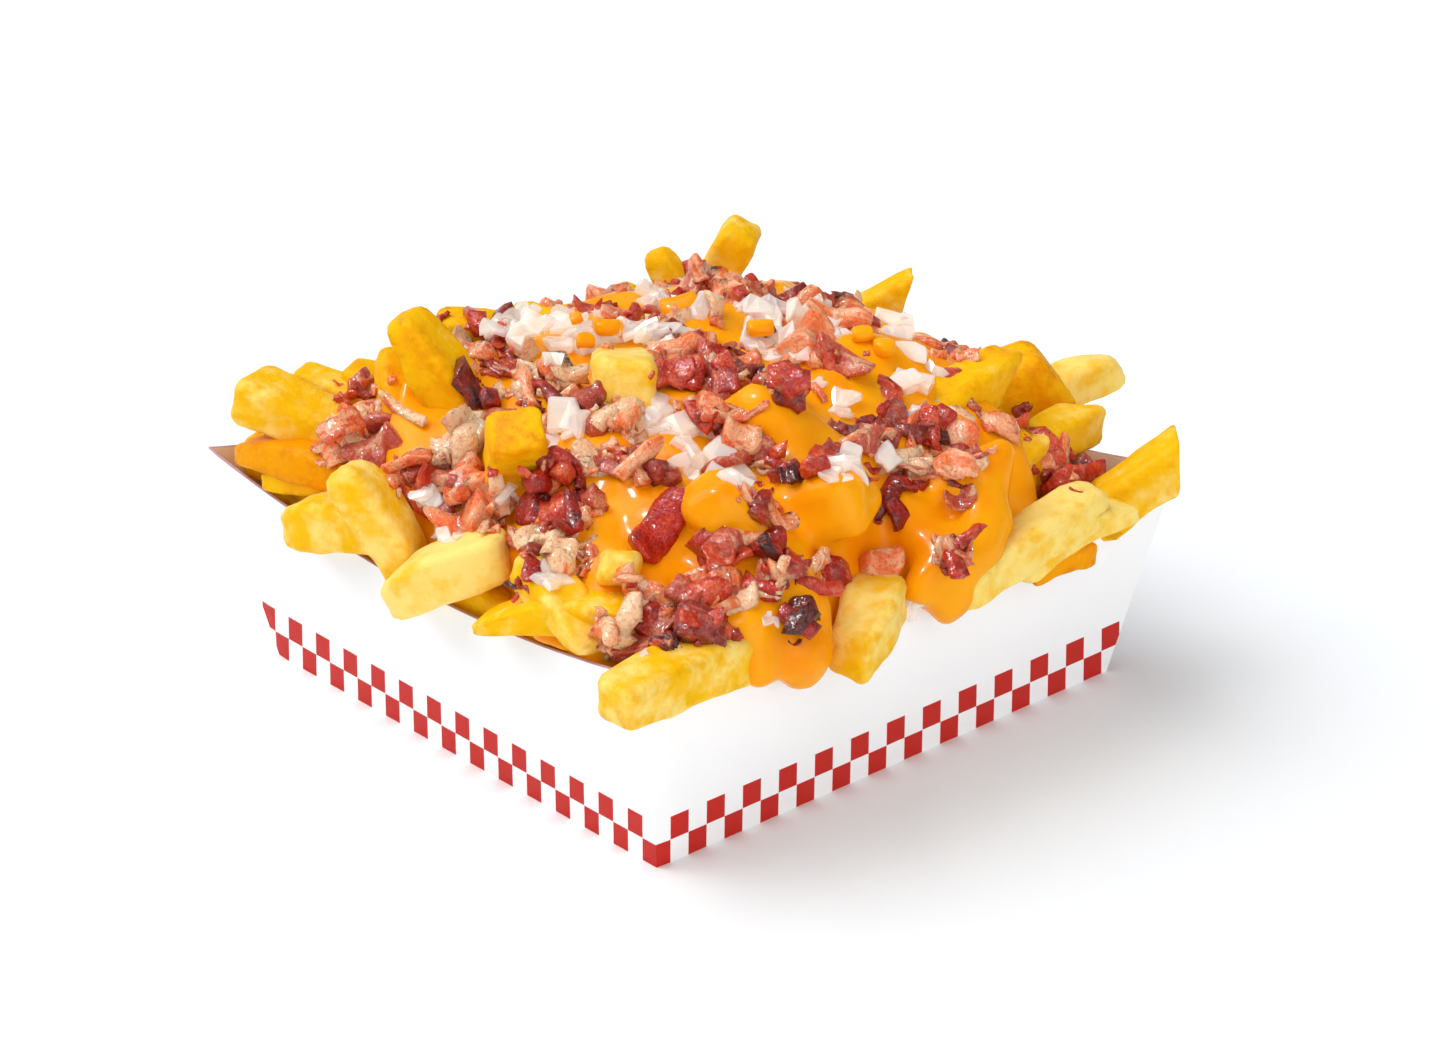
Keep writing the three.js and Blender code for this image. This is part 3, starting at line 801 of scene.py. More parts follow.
def besideWalls(points, middles):
    # What would pass through a wall below the rim is pressed flat against the wall's inner face, or against
    # its outer face where the fry's own middle is outside.
    x, y, z = points.T
    rims = rimHeight(np.clip(y / rimY, -1, 1)), rimHeight(np.clip(x / rimX, -1, 1))
    pressed = points.copy()
    for axis, (half, rim) in enumerate(zip(wallHalf(z), rims)):
        low = np.clip((rim + 1.5 - z) / 2.0, 0, 1)
        size, side = np.abs(points[:, axis]), np.sign(points[:, axis])
        middle = np.abs(middles[:, axis]) - half
        inFace, outFace = half - tray["board"] - 0.3, half + 0.3
        flat = np.where(middle < 0, np.minimum(size, inFace), np.maximum(size, outFace))
        outside = np.abs(middles[:, 1 - axis]) > wallHalf(z)[1 - axis]
        low = np.where((np.abs(middle) < 3) | (outside & (middle < 0)), 0, low)
        pressed[:, axis] += low * side * (flat - size)
    return pressed


def fryMaterial():
    # pale, yellow and golden by the fry's tone and two clouds; brown on worn edges and ends
    made, tree, shader = newMaterial("friedPotato")
    tone, edge, end, _ = looksOf(tree)
    blotch, patch = speckle(tree, 9, 3), speckle(tree, 3.2, 4)
    fine, grains = speckle(tree, 1.4, 4), speckle(tree, 0.6, 2)
    share = tone + (blotch - 0.5) * 1.25 + (patch - 0.5) * 0.7
    colour = share.steps(-0.05, 0.5).mixed(fries["pale"], fries["yellow"])
    colour = share.steps(0.5, 1.15).mixed(colour, fries["golden"])
    worn = (edge * 0.55 + end * 0.45) * patch.steps(0.4, 0.7)
    colour = worked("MULTIPLY", worn, tone * 0.6 + 0.05, clamp=True).mixed(colour, fries["brown"])
    colour = (fine.steps(0.58, 0.72) * 0.3).mixed(colour, fries["flecks"])
    finish(shader, fries["shader"], colour=colour, roughness=fine * 0.4 + 0.26)
    addBump(tree, shader, grains * 0.25 + (fine * 0.5 + patch), 0.7, 0.65)
    return made


def makeFries():
    # the showing ones with their own endings, then the spread ones with drawn tones
    gathered = Gathered()
    layout = []
    tones = seeded(3)
    for name, fry in showingFries.items():
        layout.append((*fry, wedgeTips.get(name, 0), cutTips.get(name), roundTips.get(name, 0)))
    for kind, listed in enumerate((slopeFryList(), farFryList(), fillFryList())):
        for fry in listed:
            layout.append((*fry, between(tones, (0.25, 0.95)), 0 if kind < 2 else 2, 0, None, 0))
    for number, (tip, root, wide, thick, tone, share, *ending) in enumerate(layout):
        detail = fries["hidden"] if share == 2 else fries["seen"]
        if share == 1:
            tip, root, along, _, _ = fryAxes(tip, root)
            inset = along * 2 * fries["underCoat"]
            tip, root = tip - inset, root + inset
            wide, thick = wide - 2 * fries["underCoat"], thick - 2 * fries["underCoat"]
        points, looks, rings, around = fryShape(tip, root, wide, thick, tone, number + 1, detail, *ending)
        middles = points[1:-1].reshape(rings, around, 3).mean(1).repeat(around, 0)
        points = besideWalls(points, np.concatenate([middles[:1], middles, middles[-1:]]))
        gathered.add(points, *tubeFaces(rings, around), looks)
    return gathered, layout


def coreShape():
    # under the fries: the same dome, sunk, in square rings from the wall to the middle
    rows, around = 22, 96
    turn = np.linspace(0, 2 * np.pi, around, endpoint=False)
    square = np.stack([np.cos(turn), np.sin(turn)], -1)
    square = square / np.max(np.abs(square), axis=1, keepdims=True)
    share = np.concatenate([[1.0, 1.0], np.linspace(1, 0.02, rows - 2)])
    halfX, halfY = wallHalf(30.0)
    x = share[:, None] * square[:, 0] * (halfX - core["fromWall"])
    y = share[:, None] * square[:, 1] * (halfY - core["fromWall"])
    z = coreHeight(x, y) - core["sink"]
    z[0] = core["floor"]
    top = [0, 0, float(coreHeight(0, 0)) - core["sink"]]
    flat = withPoles(np.stack([x, y, z], -1), [0, 0, core["floor"]], top)
    return flat, *tubeFaces(rows, around), np.tile(core["look"], (len(flat), 1))


makeTray()
print("tray made")

pile, fryLayout = makeFries()
pile.add(*coreShape())
pilePoints, pileQuads, pileTris, pileLooks = pile.joined()
addPiece("friesPile", pilePoints, pileQuads, pileTris, pileLooks, fryMaterial(), ["fries_heap"])
print("fries made:", len(fryLayout), "fries,", 2 * len(pileQuads) + len(pileTris), "triangles")

# the sauce: the zero level of a field of distances to the fries it covers
sauce = {
    "cell": 0.85,
    "low": (-92.0, -98.0, 36.0),
    "high": (96.0, 96.0, 96.0),
    "thickness": 1.5,
    "least": 0.9,
    "unevenness": 0.7,
    "blend": 4.6,  # how wide the fillet is between neighbouring fries
    "lip": 1.6,
    "poolBelow": 1.4,  # the pools between the fries lie this far under the heap's height
    "fringe": 4.0,
    "poolBlend": 10,
    "runBlend": 4.0,
    "reach": 6,  # no coat lies further out than this from the pools
    "fromWall": 1.3,
    "bottom": 2.5,
    "colour": (0.98, 0.39, 0.003),
    "deep": (0.93, 0.27, 0.001),
    "squash": 1.25,  # how much flatter the runs are, away from the wall
    "shader": {
        "Roughness": 0.24,
        "Specular IOR Level": 0.05,
        "Subsurface Weight": 0.25,
        "Subsurface Radius": (1.0, 0.45, 0.1),
        "Subsurface Scale": 2.0 * mm,
        "Coat Weight": 0.14,
        "Coat Roughness": 0.08,
    },
}

# where sauce lies: middle and radius of each pool, seen from above
saucePools = {
    "middle": (12, -4, 46),
    "front": (42, -40, 37),
    "right": (54, 6, 38),
    "left": (-8, -48, 24),
    "behind": (8, 32, 34),
    "rightEdge": (74, -30, 24),
}
# runs of sauce over the rim: points with a radius each
sauceRuns = {
    "frontRun": ((66, -38, 58, 9), (75, -39, 52.5, 8.5), (79.5, -40, 46.5, 6.5), (79, -39, 41.5, 4)),
    "frontRunSide": ((66, -47, 57, 7), (75, -50, 52, 6.5), (79, -51, 47, 4.8)),
    "overFry": ((79, -3, 51, 5), (80, 5, 52.5, 6), (80, 11, 54.5, 5.5), (79, 17, 57, 3)),
    "fin": ((66, 14, 58, 8), (71, 21, 66, 5.5), (72, 25, 70.5, 2.2)),
    "finSlope": ((72, 25, 68, 2.5), (77, 16, 58, 5), (79, 6, 50, 5)),
    "rightRun": ((66, 2, 60, 6), (76, 3, 53, 5.2), (80, 3, 46, 4.4), (79, 3, 41.5, 2.8)),
}


def smoothLeast(a, b, width):
    # the smaller of two distances, less a quarter of the width times the square of how nearly equal they are
    alike = np.clip(width - np.abs(a - b), 0, None) / width
    return np.minimum(a, b) - alike * alike * width / 4


def windowOf(axes, low, high):
    # index ranges of the grid between two corners
    return tuple(slice(*np.searchsorted(axis, (l, h))) for axis, l, h in zip(axes, low, high))


def gridIn(axes, window):
    # the places of the grid points in a window
    return np.stack(np.meshgrid(*(a[w] for a, w in zip(axes, window)), indexing="ij"), -1)


def fryDistance(points, tip, root, wide, thick, share):
    # distance to the oblong from its root to a share of its length, bowed like the fry itself
    tip, root, along, across, rise = fryAxes(tip, root)
    length = np.linalg.norm(tip - root)
    away = points - root
    s = away @ along
    t = np.clip(s / length, 0, 1)
    corner = 0.34 * min(wide, thick)
    used = length * share
    q = np.stack([
        np.abs(s - used / 2) - used / 2,
        np.abs(away @ across) - wide / 2,
        np.abs(away @ rise - fries["bow"] * 4 * t * (1 - t)) - thick / 2,
    ], -1) + corner
    ending = 0.3 * np.clip(s - used + 9, 0, None) if share < 1 else 0
    return np.linalg.norm(np.maximum(q, 0), axis=-1) + np.minimum(q.max(-1), 0) - corner + ending


def runDistance(points, a, b, ra, rb):
    # distance to a rod between two points whose radius goes from one value to the other, flattened along X
    flat = np.array([sauce["squash"], 1, 1])
    points, a, b = points * flat, np.array(a, float) * flat, np.array(b, float) * flat
    t = np.clip((points - a) @ (b - a) / ((b - a) @ (b - a)), 0, 1)
    return np.linalg.norm(points - a - t[..., None] * (b - a), axis=-1) - (ra + (rb - ra) * t)


def poolEdge(x, y):
    # how far a place is outside the pools seen from above, below zero inside, with fillets between them
    edge = np.full(x.shape, 1e3)
    for px, py, radius in saucePools.values():
        edge = smoothLeast(edge, np.hypot(x - px, y - py) - radius, sauce["poolBlend"])
    return edge


def sauceField():
    # Distances to the pools and to the coated fries, less the coat's thickness, cut off at the pools' uneven
    # edge and at the walls; the runs over the rim are added. Fillets join what meets.
    axes = [np.arange(l, h, sauce["cell"]) for l, h in zip(sauce["low"], sauce["high"])]
    x, y = np.meshgrid(axes[0], axes[1], indexing="ij")
    pool = coreHeight(x, y) - sauce["poolBelow"]
    field = (axes[2][None, None, :] - pool[..., None]) * 0.8
    overWall = np.maximum(np.abs(x) - rimX, np.abs(y) - rimY) + 0.5
    field = -smoothLeast(-field, -overWall[..., None], 5)
    reach = sauce["blend"] + 5
    for tip, root, wide, thick, _, share, *_ in fryLayout:
        if share == 0:
            continue
        corners = np.array([tip, root], float)
        margin = max(wide, thick) / 2 + reach
        window = windowOf(axes, corners.min(0) - margin, corners.max(0) + margin)
        distance = fryDistance(gridIn(axes, window), tip, root, wide, thick, min(share, 1))
        field[window] = smoothLeast(field[window], distance, sauce["blend"])
    # the coat's thickness varies by two noises, and so does the edge of the pools
    thin = np.abs(field) < 7
    index = np.argwhere(thin)
    points = np.stack([axes[k][index[:, k]] for k in range(3)], -1)
    coat = sauce["thickness"] + sauce["unevenness"] * noise(points, 9, 51) + 0.5 * noise(points, 5, 52)
    coat = np.maximum(coat, sauce["least"])
    edge = poolEdge(points[:, 0], points[:, 1])
    edge = edge + sauce["fringe"] * noise(points, 13, 53) + 1.2 * noise(points, 5, 54)
    field[thin] = -smoothLeast(-(field[thin] - coat), -edge, sauce["lip"] * 2)
    field = np.maximum(field, (poolEdge(x, y) - sauce["reach"])[..., None])
    # below the rim it stays inside the walls
    z = axes[2][None, None, :]
    halfX, halfY = wallHalf(z)
    inWalls = np.maximum(np.abs(x)[..., None] - halfX, np.abs(y)[..., None] - halfY) + sauce["fromWall"]
    rim = np.where(np.abs(x) / rimX > np.abs(y) / rimY, rimHeight(y / rimY), rimHeight(x / rimX))
    field = np.maximum(field, np.minimum(inWalls, rim[..., None] + 0.6 - z))
    for run in sauceRuns.values():
        for (ax, ay, az, ra), (bx, by, bz, rb) in zip(run, run[1:]):
            corners = np.array([(ax, ay, az), (bx, by, bz)], float)
            window = windowOf(axes, corners.min(0) - ra - 6, corners.max(0) + ra + 6)
            close = gridIn(axes, window)
            distance = runDistance(close, (ax, ay, az), (bx, by, bz), ra, rb) + 0.6 * noise(close, 7, 55)
            field[window] = smoothLeast(field[window], distance, sauce["runBlend"])
    # hidden inside the tray it ends at a flat bottom; nothing of a run is inside the board
    field = np.maximum(field, sauce["low"][2] + sauce["bottom"] - z)
    beyond = np.abs(x)[..., None] - halfX
    inBoard = np.minimum(halfX + 0.15 - np.abs(x)[..., None], beyond + sauce["fromWall"])
    field = np.where((inBoard > 0) & (z < rim[..., None]) & (inWalls > 0), np.maximum(field, inBoard), field)
    field[:, :, 0] = field[:, :, -1] = 1
    field[0], field[-1], field[:, 0], field[:, -1] = 1, 1, 1, 1
    return axes, field


def surfaceOf(axes, field):
    # One point in each cell that the surface crosses, at the mean of where it crosses the cell's edges;
    # each grid edge it crosses becomes a face between the four cells round that edge.
    inside = field < 0
    corners = list(np.ndindex(2, 2, 2))
    ends = [n - 1 for n in field.shape]
    counts = sum(
        inside[i:i + ends[0], j:j + ends[1], k:k + ends[2]].astype(np.int8) for i, j, k in corners
    )
    cells = np.argwhere((counts > 0) & (counts < len(corners)))
    number = np.full(counts.shape, -1, dtype=np.int64)
    number[tuple(cells.T)] = np.arange(len(cells))
    values = {c: field[tuple((cells + c).T)] for c in corners}
    total, crossed = np.zeros((len(cells), 3)), np.zeros(len(cells))
    for c in corners:
        for axis in range(3):
            if c[axis] == 1:
                continue
            d = tuple(1 if n == axis else c[n] for n in range(3))
            a, b = values[c], values[d]
            cut = (a < 0) != (b < 0)
            t = np.where(cut, a / np.where(cut, a - b, 1), 0)
            place = np.tile(np.array(c, float), (len(cells), 1))
            place[:, axis] = t
            total += place * cut[:, None]
            crossed += cut
    points = cells + total / crossed[:, None]
    origin = np.array([a[0] for a in axes])
    points = points * sauce["cell"] + origin
    quads = []
    for axis in range(3):
        one, two = (axis + 1) % 3, (axis + 2) % 3
        low, high = [slice(None)] * 3, [slice(None)] * 3
        low[axis], high[axis] = slice(0, -1), slice(1, None)
        edges = np.argwhere(inside[tuple(low)] != inside[tuple(high)])
        edges = edges[(edges[:, one] > 0) & (edges[:, two] > 0)]
        leaving = inside[tuple(low)][tuple(edges.T)]
        around = []
        for da, db in ((-1, -1), (0, -1), (0, 0), (-1, 0)):
            step = [0, 0, 0]
            step[one], step[two] = da, db
            around.append(number[tuple((edges + step).T)])
        face = np.stack(around, -1)
        quads.append(np.where(leaving[:, None], face, face[:, ::-1]))
    quads = np.concatenate(quads)
    return points, quads[(quads >= 0).all(1)]


def relaxed(points, quads, rounds, share):
    # each point moves a share of the way to the mean of its neighbours
    a = quads.ravel()
    b = np.roll(quads, -1, axis=1).ravel()
    ends, starts = np.concatenate([a, b]), np.concatenate([b, a])
    count = np.bincount(ends, minlength=len(points))[:, None]
    for _ in range(rounds):
        mean = np.stack([np.bincount(ends, points[starts, k], len(points)) for k in range(3)], -1) / count
        points = points + share * (mean - points)
    return points


def sauceMaterial():
    # two yellows in wide soft clouds
    made, tree, shader = newMaterial("cheeseSauce")
    colour = speckle(tree, 16, 3).steps(0.35, 0.75).mixed(sauce["colour"], sauce["deep"])
    finish(shader, sauce["shader"], colour=colour)
    addBump(tree, shader, speckle(tree, 5, 4), 0.35, 0.6)
    return made


sauceAxes, sauceValues = sauceField()
saucePoints, sauceQuads = surfaceOf(sauceAxes, sauceValues)
saucePoints = relaxed(saucePoints, sauceQuads, 3, 0.5)
noTris = np.zeros((0, 3), dtype=np.int64)
addPiece("cheeseSauce", saucePoints, sauceQuads, noTris, None, sauceMaterial(), ["fries_heap"])
print("sauce made:", 2 * len(sauceQuads), "triangles")

# bacon, and how its chips differ from one another
bacon = {
    "pink": (0.98, 0.2, 0.045),
    "lean": (0.56, 0.016, 0.004),
    "fat": (1.0, 0.69, 0.42),
    "crust": (0.85, 0.2, 0.02),
    "mauve": (0.42, 0.06, 0.045),
    "charred": (0.05, 0.009, 0.007),
    "shader": {
        "Specular IOR Level": 0.1,
        "Subsurface Weight": 0.35,
        "Subsurface Radius": (1.0, 0.35, 0.18),
        "Subsurface Scale": 2.0 * mm,
        "Coat Weight": 0.75,
        "Coat Roughness": 0.09,
    },
    "flakes": 0.5,  # share of the chips that are flat-sided
    "rounding": 0.55,
    "ragged": 0.3,
    "bend": 0.3,
    "twist": 0.9,
    "jitter": 0.16,
    "detail": (18, 22),  # rings of a large chip, and points round each
}
# onion, in the same terms
onion = {
    "flesh": (1.0, 0.95, 0.87),
    "clear": (1.0, 0.83, 0.66),
    "vein": (0.97, 0.95, 0.93),
    "shader": {
        "Roughness": 0.3,
        "Subsurface Weight": 0.9,
        "Subsurface Radius": (1.0, 0.85, 0.7),
        "Subsurface Scale": 2.5 * mm,
        "Alpha": 0.6,
        "Emission Color": (1.0, 0.82, 0.68, 1),  # a painted glow, standing in for the light that comes through the thin layers
        "Emission Strength": 0.12,
        "Coat Weight": 1.0,
        "Coat Roughness": 0.1,
    },
    "flakes": 1.0,
    "rounding": 0.3,
    "ragged": 0.1,
    "bend": 0.16,
    "twist": 0.3,
    "jitter": 0.0,
    "detail": (9, 12),
}

# middle of each cluster in the photo, its half-width and half-height there, one letter for each chip
# (p pink, f fatty, l lean, c charred) and the chips' length in millimetres
baconPlaces = {
    "leftFold": (345, 430, 24, 26, "pfpf", 11),
    "leftLump": (395, 420, 20, 22, "pffp", 11),
    "leftDark": (362, 452, 18, 8, "ll", 8),
    "leftPink": (415, 465, 18, 10, "ppf", 9),
    "leftCrumbs": (395, 480, 14, 12, "fpp", 6),
    "leftLean": (440, 495, 18, 20, "lllp", 10),
    "waistPink": (475, 490, 18, 18, "pppf", 11),
    "waistCrumbs": (485, 525, 16, 12, "fpf", 8),
    "upperDark": (345, 400, 10, 6, "l", 7),
    "upperPink": (370, 385, 22, 6, "pp", 8),
    "crownDark": (470, 330, 14, 8, "ll", 8),
    "crownStrip": (503, 340, 5, 14, "lc", 9),
    "crownRed": (490, 365, 9, 10, "ll", 7),
    "crownPink": (515, 355, 10, 12, "pp", 8),
    "fatStrip": (540, 375, 20, 6, "fff", 10),
    "crownLump": (540, 388, 18, 8, "ppf", 8),
    "charThin": (480, 390, 22, 8, "cc", 9),
    "crownCrumbs": (500, 400, 18, 7, "fpfl", 6),
    "fatUpright": (465, 430, 8, 20, "fff", 8),
    "cream": (450, 455, 10, 12, "ff", 7),
    "ridgeDark": (600, 310, 14, 5, "ll", 7),
    "ridgeRed": (640, 317, 14, 6, "lp", 6),
    "ridgePale": (570, 375, 14, 9, "fp", 8),
    "dropCrumbs": (605, 380, 18, 10, "pfl", 7),
    "midCrumbs": (600, 420, 22, 13, "pflpf", 7),
    "midCurl": (625, 420, 14, 16, "fpf", 9),
    "midLean": (560, 465, 26, 10, "lllp", 9),
    "midPale": (600, 455, 22, 14, "pffpp", 8),
    "midRed": (640, 470, 26, 16, "lplpl", 9),
    "purple": (538, 485, 13, 13, "ll", 9),
    "purpleCurl": (570, 505, 16, 18, "cll", 10),
    "besidePurple": (592, 510, 10, 12, "pp", 7),
    "lowPale": (550, 545, 32, 16, "pfpfpf", 9),
    "lowDark": (535, 562, 14, 9, "lc", 6),
    "lowCrumbs": (575, 565, 22, 8, "pfp", 6),
    "hangCrumbs": (520, 590, 9, 7, "lc", 4),
    "cornerRed": (620, 575, 13, 10, "llp", 8),
    "cornerPink": (645, 600, 18, 8, "pf", 8),
    "cornerBig": (710, 595, 24, 14, "ppfp", 12),
    "cornerFat": (640, 625, 18, 12, "fpf", 8),
    "cornerFrayed": (660, 620, 16, 12, "lpl", 9),
    "cornerStrip": (700, 620, 22, 8, "lll", 9),
    "cornerDark": (720, 638, 18, 6, "ll", 10),
    "cornerHang": (610, 635, 8, 18, "ppf", 8),
    "cornerLow": (665, 645, 14, 5, "cp", 5),
    "rightPurple": (720, 555, 16, 14, "lpl", 9),
    "rightPink": (745, 535, 10, 9, "pp", 6),
    "charUpright": (765, 548, 5, 12, "cc", 8),
    "curlPink": (770, 580, 12, 16, "plf", 9),
    "curlSide": (790, 568, 7, 14, "pl", 7),
    "curlPale": (820, 562, 10, 14, "fp", 8),
    "curlDark": (828, 580, 14, 8, "ll", 8),
    "charredChip": (800, 625, 13, 17, "cc", 8),
    "charredCurl": (885, 508, 11, 14, "cc", 9),
    "charredStick": (905, 487, 14, 3, "c", 8),
    "stackChunk": (950, 552, 10, 15, "lpfp", 9),
    "farDice": (1062, 470, 26, 18, "lplp", 12),
    "crestPink": (840, 365, 24, 18, "pplp", 11),
    "crestSquare": (787, 380, 18, 13, "pl", 11),
    "crestCurl": (720, 385, 28, 15, "plpc", 10),
    "crestDark": (760, 370, 9, 12, "lc", 7),
    "crestPurple": (715, 362, 11, 10, "ll", 8),
    "crestOrange": (675, 362, 22, 15, "plpl", 8),
    "crestRed": (655, 382, 17, 12, "lpl", 8),
    "topOne": (705, 280, 22, 12, "plppl", 9),
    "topTwo": (745, 292, 34, 10, "pplplp", 9),
    "topThree": (792, 312, 26, 11, "pplpl", 9),
    "topFour": (842, 322, 26, 9, "plpp", 8),
    "topUpright": (696, 272, 6, 10, "pp", 10),
    "middleStrip": (710, 415, 30, 9, "lplp", 10),
    "middlePink": (735, 450, 20, 20, "ppllp", 9),
    "middleSide": (762, 465, 16, 16, "plpf", 8),
    "middleLow": (750, 500, 20, 11, "lpl", 8),
    "middleEdge": (765, 512, 12, 14, "lp", 7),
    "charLump": (790, 476, 10, 7, "cc", 7),
    "eastDark": (820, 460, 12, 9, "ll", 7),
    "eastRed": (870, 475, 7, 8, "l", 6),
    "eastOrange": (850, 440, 16, 8, "pl", 7),
    "eastCrumbs": (870, 430, 14, 10, "clc", 5),
    "flatDark": (905, 430, 18, 9, "lll", 10),
    "flatSide": (930, 440, 10, 6, "c", 6),
    "paleBand": (910, 465, 20, 11, "pfp", 9),
    "redBand": (955, 465, 20, 11, "plp", 9),
    "bandEnd": (985, 457, 10, 8, "fp", 6),
    "bandLow": (945, 492, 18, 6, "lp", 7),
    "diceOrange": (975, 410, 12, 11, "pp", 9),
    "diceRed": (1000, 425, 15, 11, "lp", 9),
    "diceSide": (1025, 415, 9, 6, "l", 5),
    "eastCrown": (960, 356, 18, 6, "plp", 6),
    "eastCrownLow": (938, 362, 9, 6, "lp", 5),
    "flatTriangle": (885, 395, 10, 14, "lp", 9),
    "tinyFar": (1183, 478, 3, 3, "p", 3),
    "dropDark": (760, 333, 9, 4, "cc", 4),
    "leftSpread": (430, 450, 100, 55, "plpfp", 7),
    "waistSpread": (530, 500, 80, 70, "plpl", 8),
    "crownSpread": (560, 370, 90, 40, "pfpfplpc", 8),
    "crestSpread": (760, 350, 120, 45, "plpfplpfplp", 9),
    "topSpread": (760, 300, 100, 25, "plpfplpflplp", 9),
    "middleSpread": (720, 450, 90, 55, "plpl", 8),
    "cornerSpread": (670, 600, 70, 40, "pl", 8),
    "eastSpread": (930, 440, 90, 40, "plpfpl", 7),
}
# where the photo shows bare fries and smooth sauce among the toppings
keptClear = {
    "saucePatchLeft": (418, 434, 26, 13),
    "saucePatchMiddle": (678, 556, 22, 14),
    "saucePatchRight": (738, 522, 20, 12),
    "saucePatchWaist": (520, 520, 14, 12),
    "topBlock": (735, 258, 30, 26),
    "topCurved": (664, 270, 24, 20),
    "backWedge": (885, 296, 32, 20),
    "sauceUpper": (945, 500, 30, 12),
    "sauceMiddle": (905, 540, 26, 20),
    "sauceDrip": (965, 600, 20, 24),
    "rightYellow": (1070, 425, 28, 24),
    "squareEnd": (615, 378, 30, 26),
    "coatedStub": (516, 438, 28, 36),
    "middleFry": (795, 423, 40, 22),
    "crestLump": (873, 380, 26, 22),
    "fryTip": (966, 378, 42, 24),
    "rightBig": (1035, 372, 28, 30),
    "roundFry": (838, 516, 34, 24),
    "bigStand": (428, 362, 36, 50),
    "leftSlab": (283, 415, 40, 34),
    "leftUpright": (366, 515, 30, 48),
    "frontPale": (446, 580, 60, 30),
    "cornerSauce": (668, 566, 26, 15),
    "stub": (607, 562, 14, 18),
    "frontFlat": (540, 625, 58, 18),
    "sauceFront": (700, 530, 10, 14),
    "sauceSide": (690, 560, 14, 12),
    "sauceRight": (960, 520, 30, 16),
    "sauceFin": (1005, 480, 24, 30),
    "sauceLow": (870, 560, 14, 14),
    "frontCorner": (680, 685, 60, 22),
    "frontUpright": (855, 630, 26, 40),
}
onionPlaces = {
    "left": (422, 500, 12, 9, 2, 9),
    "waist": (505, 505, 9, 14, 2, 8),
    "leftLow": (440, 535, 16, 6, 2, 6),
    "crownOne": (487, 330, 12, 8, 2, 8),
    "crownTwo": (475, 350, 8, 9, 2, 7),
    "crownThree": (520, 320, 20, 9, 3, 9),
    "crownFour": (555, 320, 12, 8, 2, 8),
    "crownWide": (570, 347, 28, 14, 3, 9),
    "long": (560, 430, 14, 16, 1, 12),
    "low": (548, 580, 13, 6, 2, 7),
    "topLeft": (655, 305, 11, 14, 2, 9),
    "topDrop": (645, 338, 20, 8, 4, 8),
    "ridge": (745, 345, 20, 9, 2, 8),
    "ridgeBig": (792, 350, 18, 9, 3, 11),
    "topSpike": (815, 310, 9, 12, 2, 9),
    "topSide": (832, 335, 12, 8, 2, 7),
    "eastTop": (890, 330, 8, 12, 2, 8),
    "eastWide": (910, 380, 16, 8, 2, 9),
    "eastSide": (945, 370, 10, 6, 1, 8),
    "eastMiddle": (840, 410, 14, 9, 2, 8),
    "eastSmall": (860, 405, 8, 6, 1, 6),
    "eastTiny": (915, 410, 5, 5, 1, 5),
    "centreUp": (660, 425, 18, 18, 2, 9),
    "centre": (690, 455, 16, 18, 2, 9),
    "centreLow": (725, 485, 17, 10, 1, 9),
    "eastBand": (845, 470, 16, 9, 2, 9),
    "eastLow": (880, 455, 9, 9, 1, 8),
    "overRim": (910, 600, 5, 15, 2, 7),
    "drop": (767, 622, 6, 5, 1, 5),
    "cornerTiny": (638, 652, 6, 4, 1, 4),
    "crownSpread": (560, 328, 66, 16, 5, 8),
    "topSpread": (730, 325, 90, 22, 6, 9),
    "eastSpread": (880, 375, 70, 24, 4, 8),
}
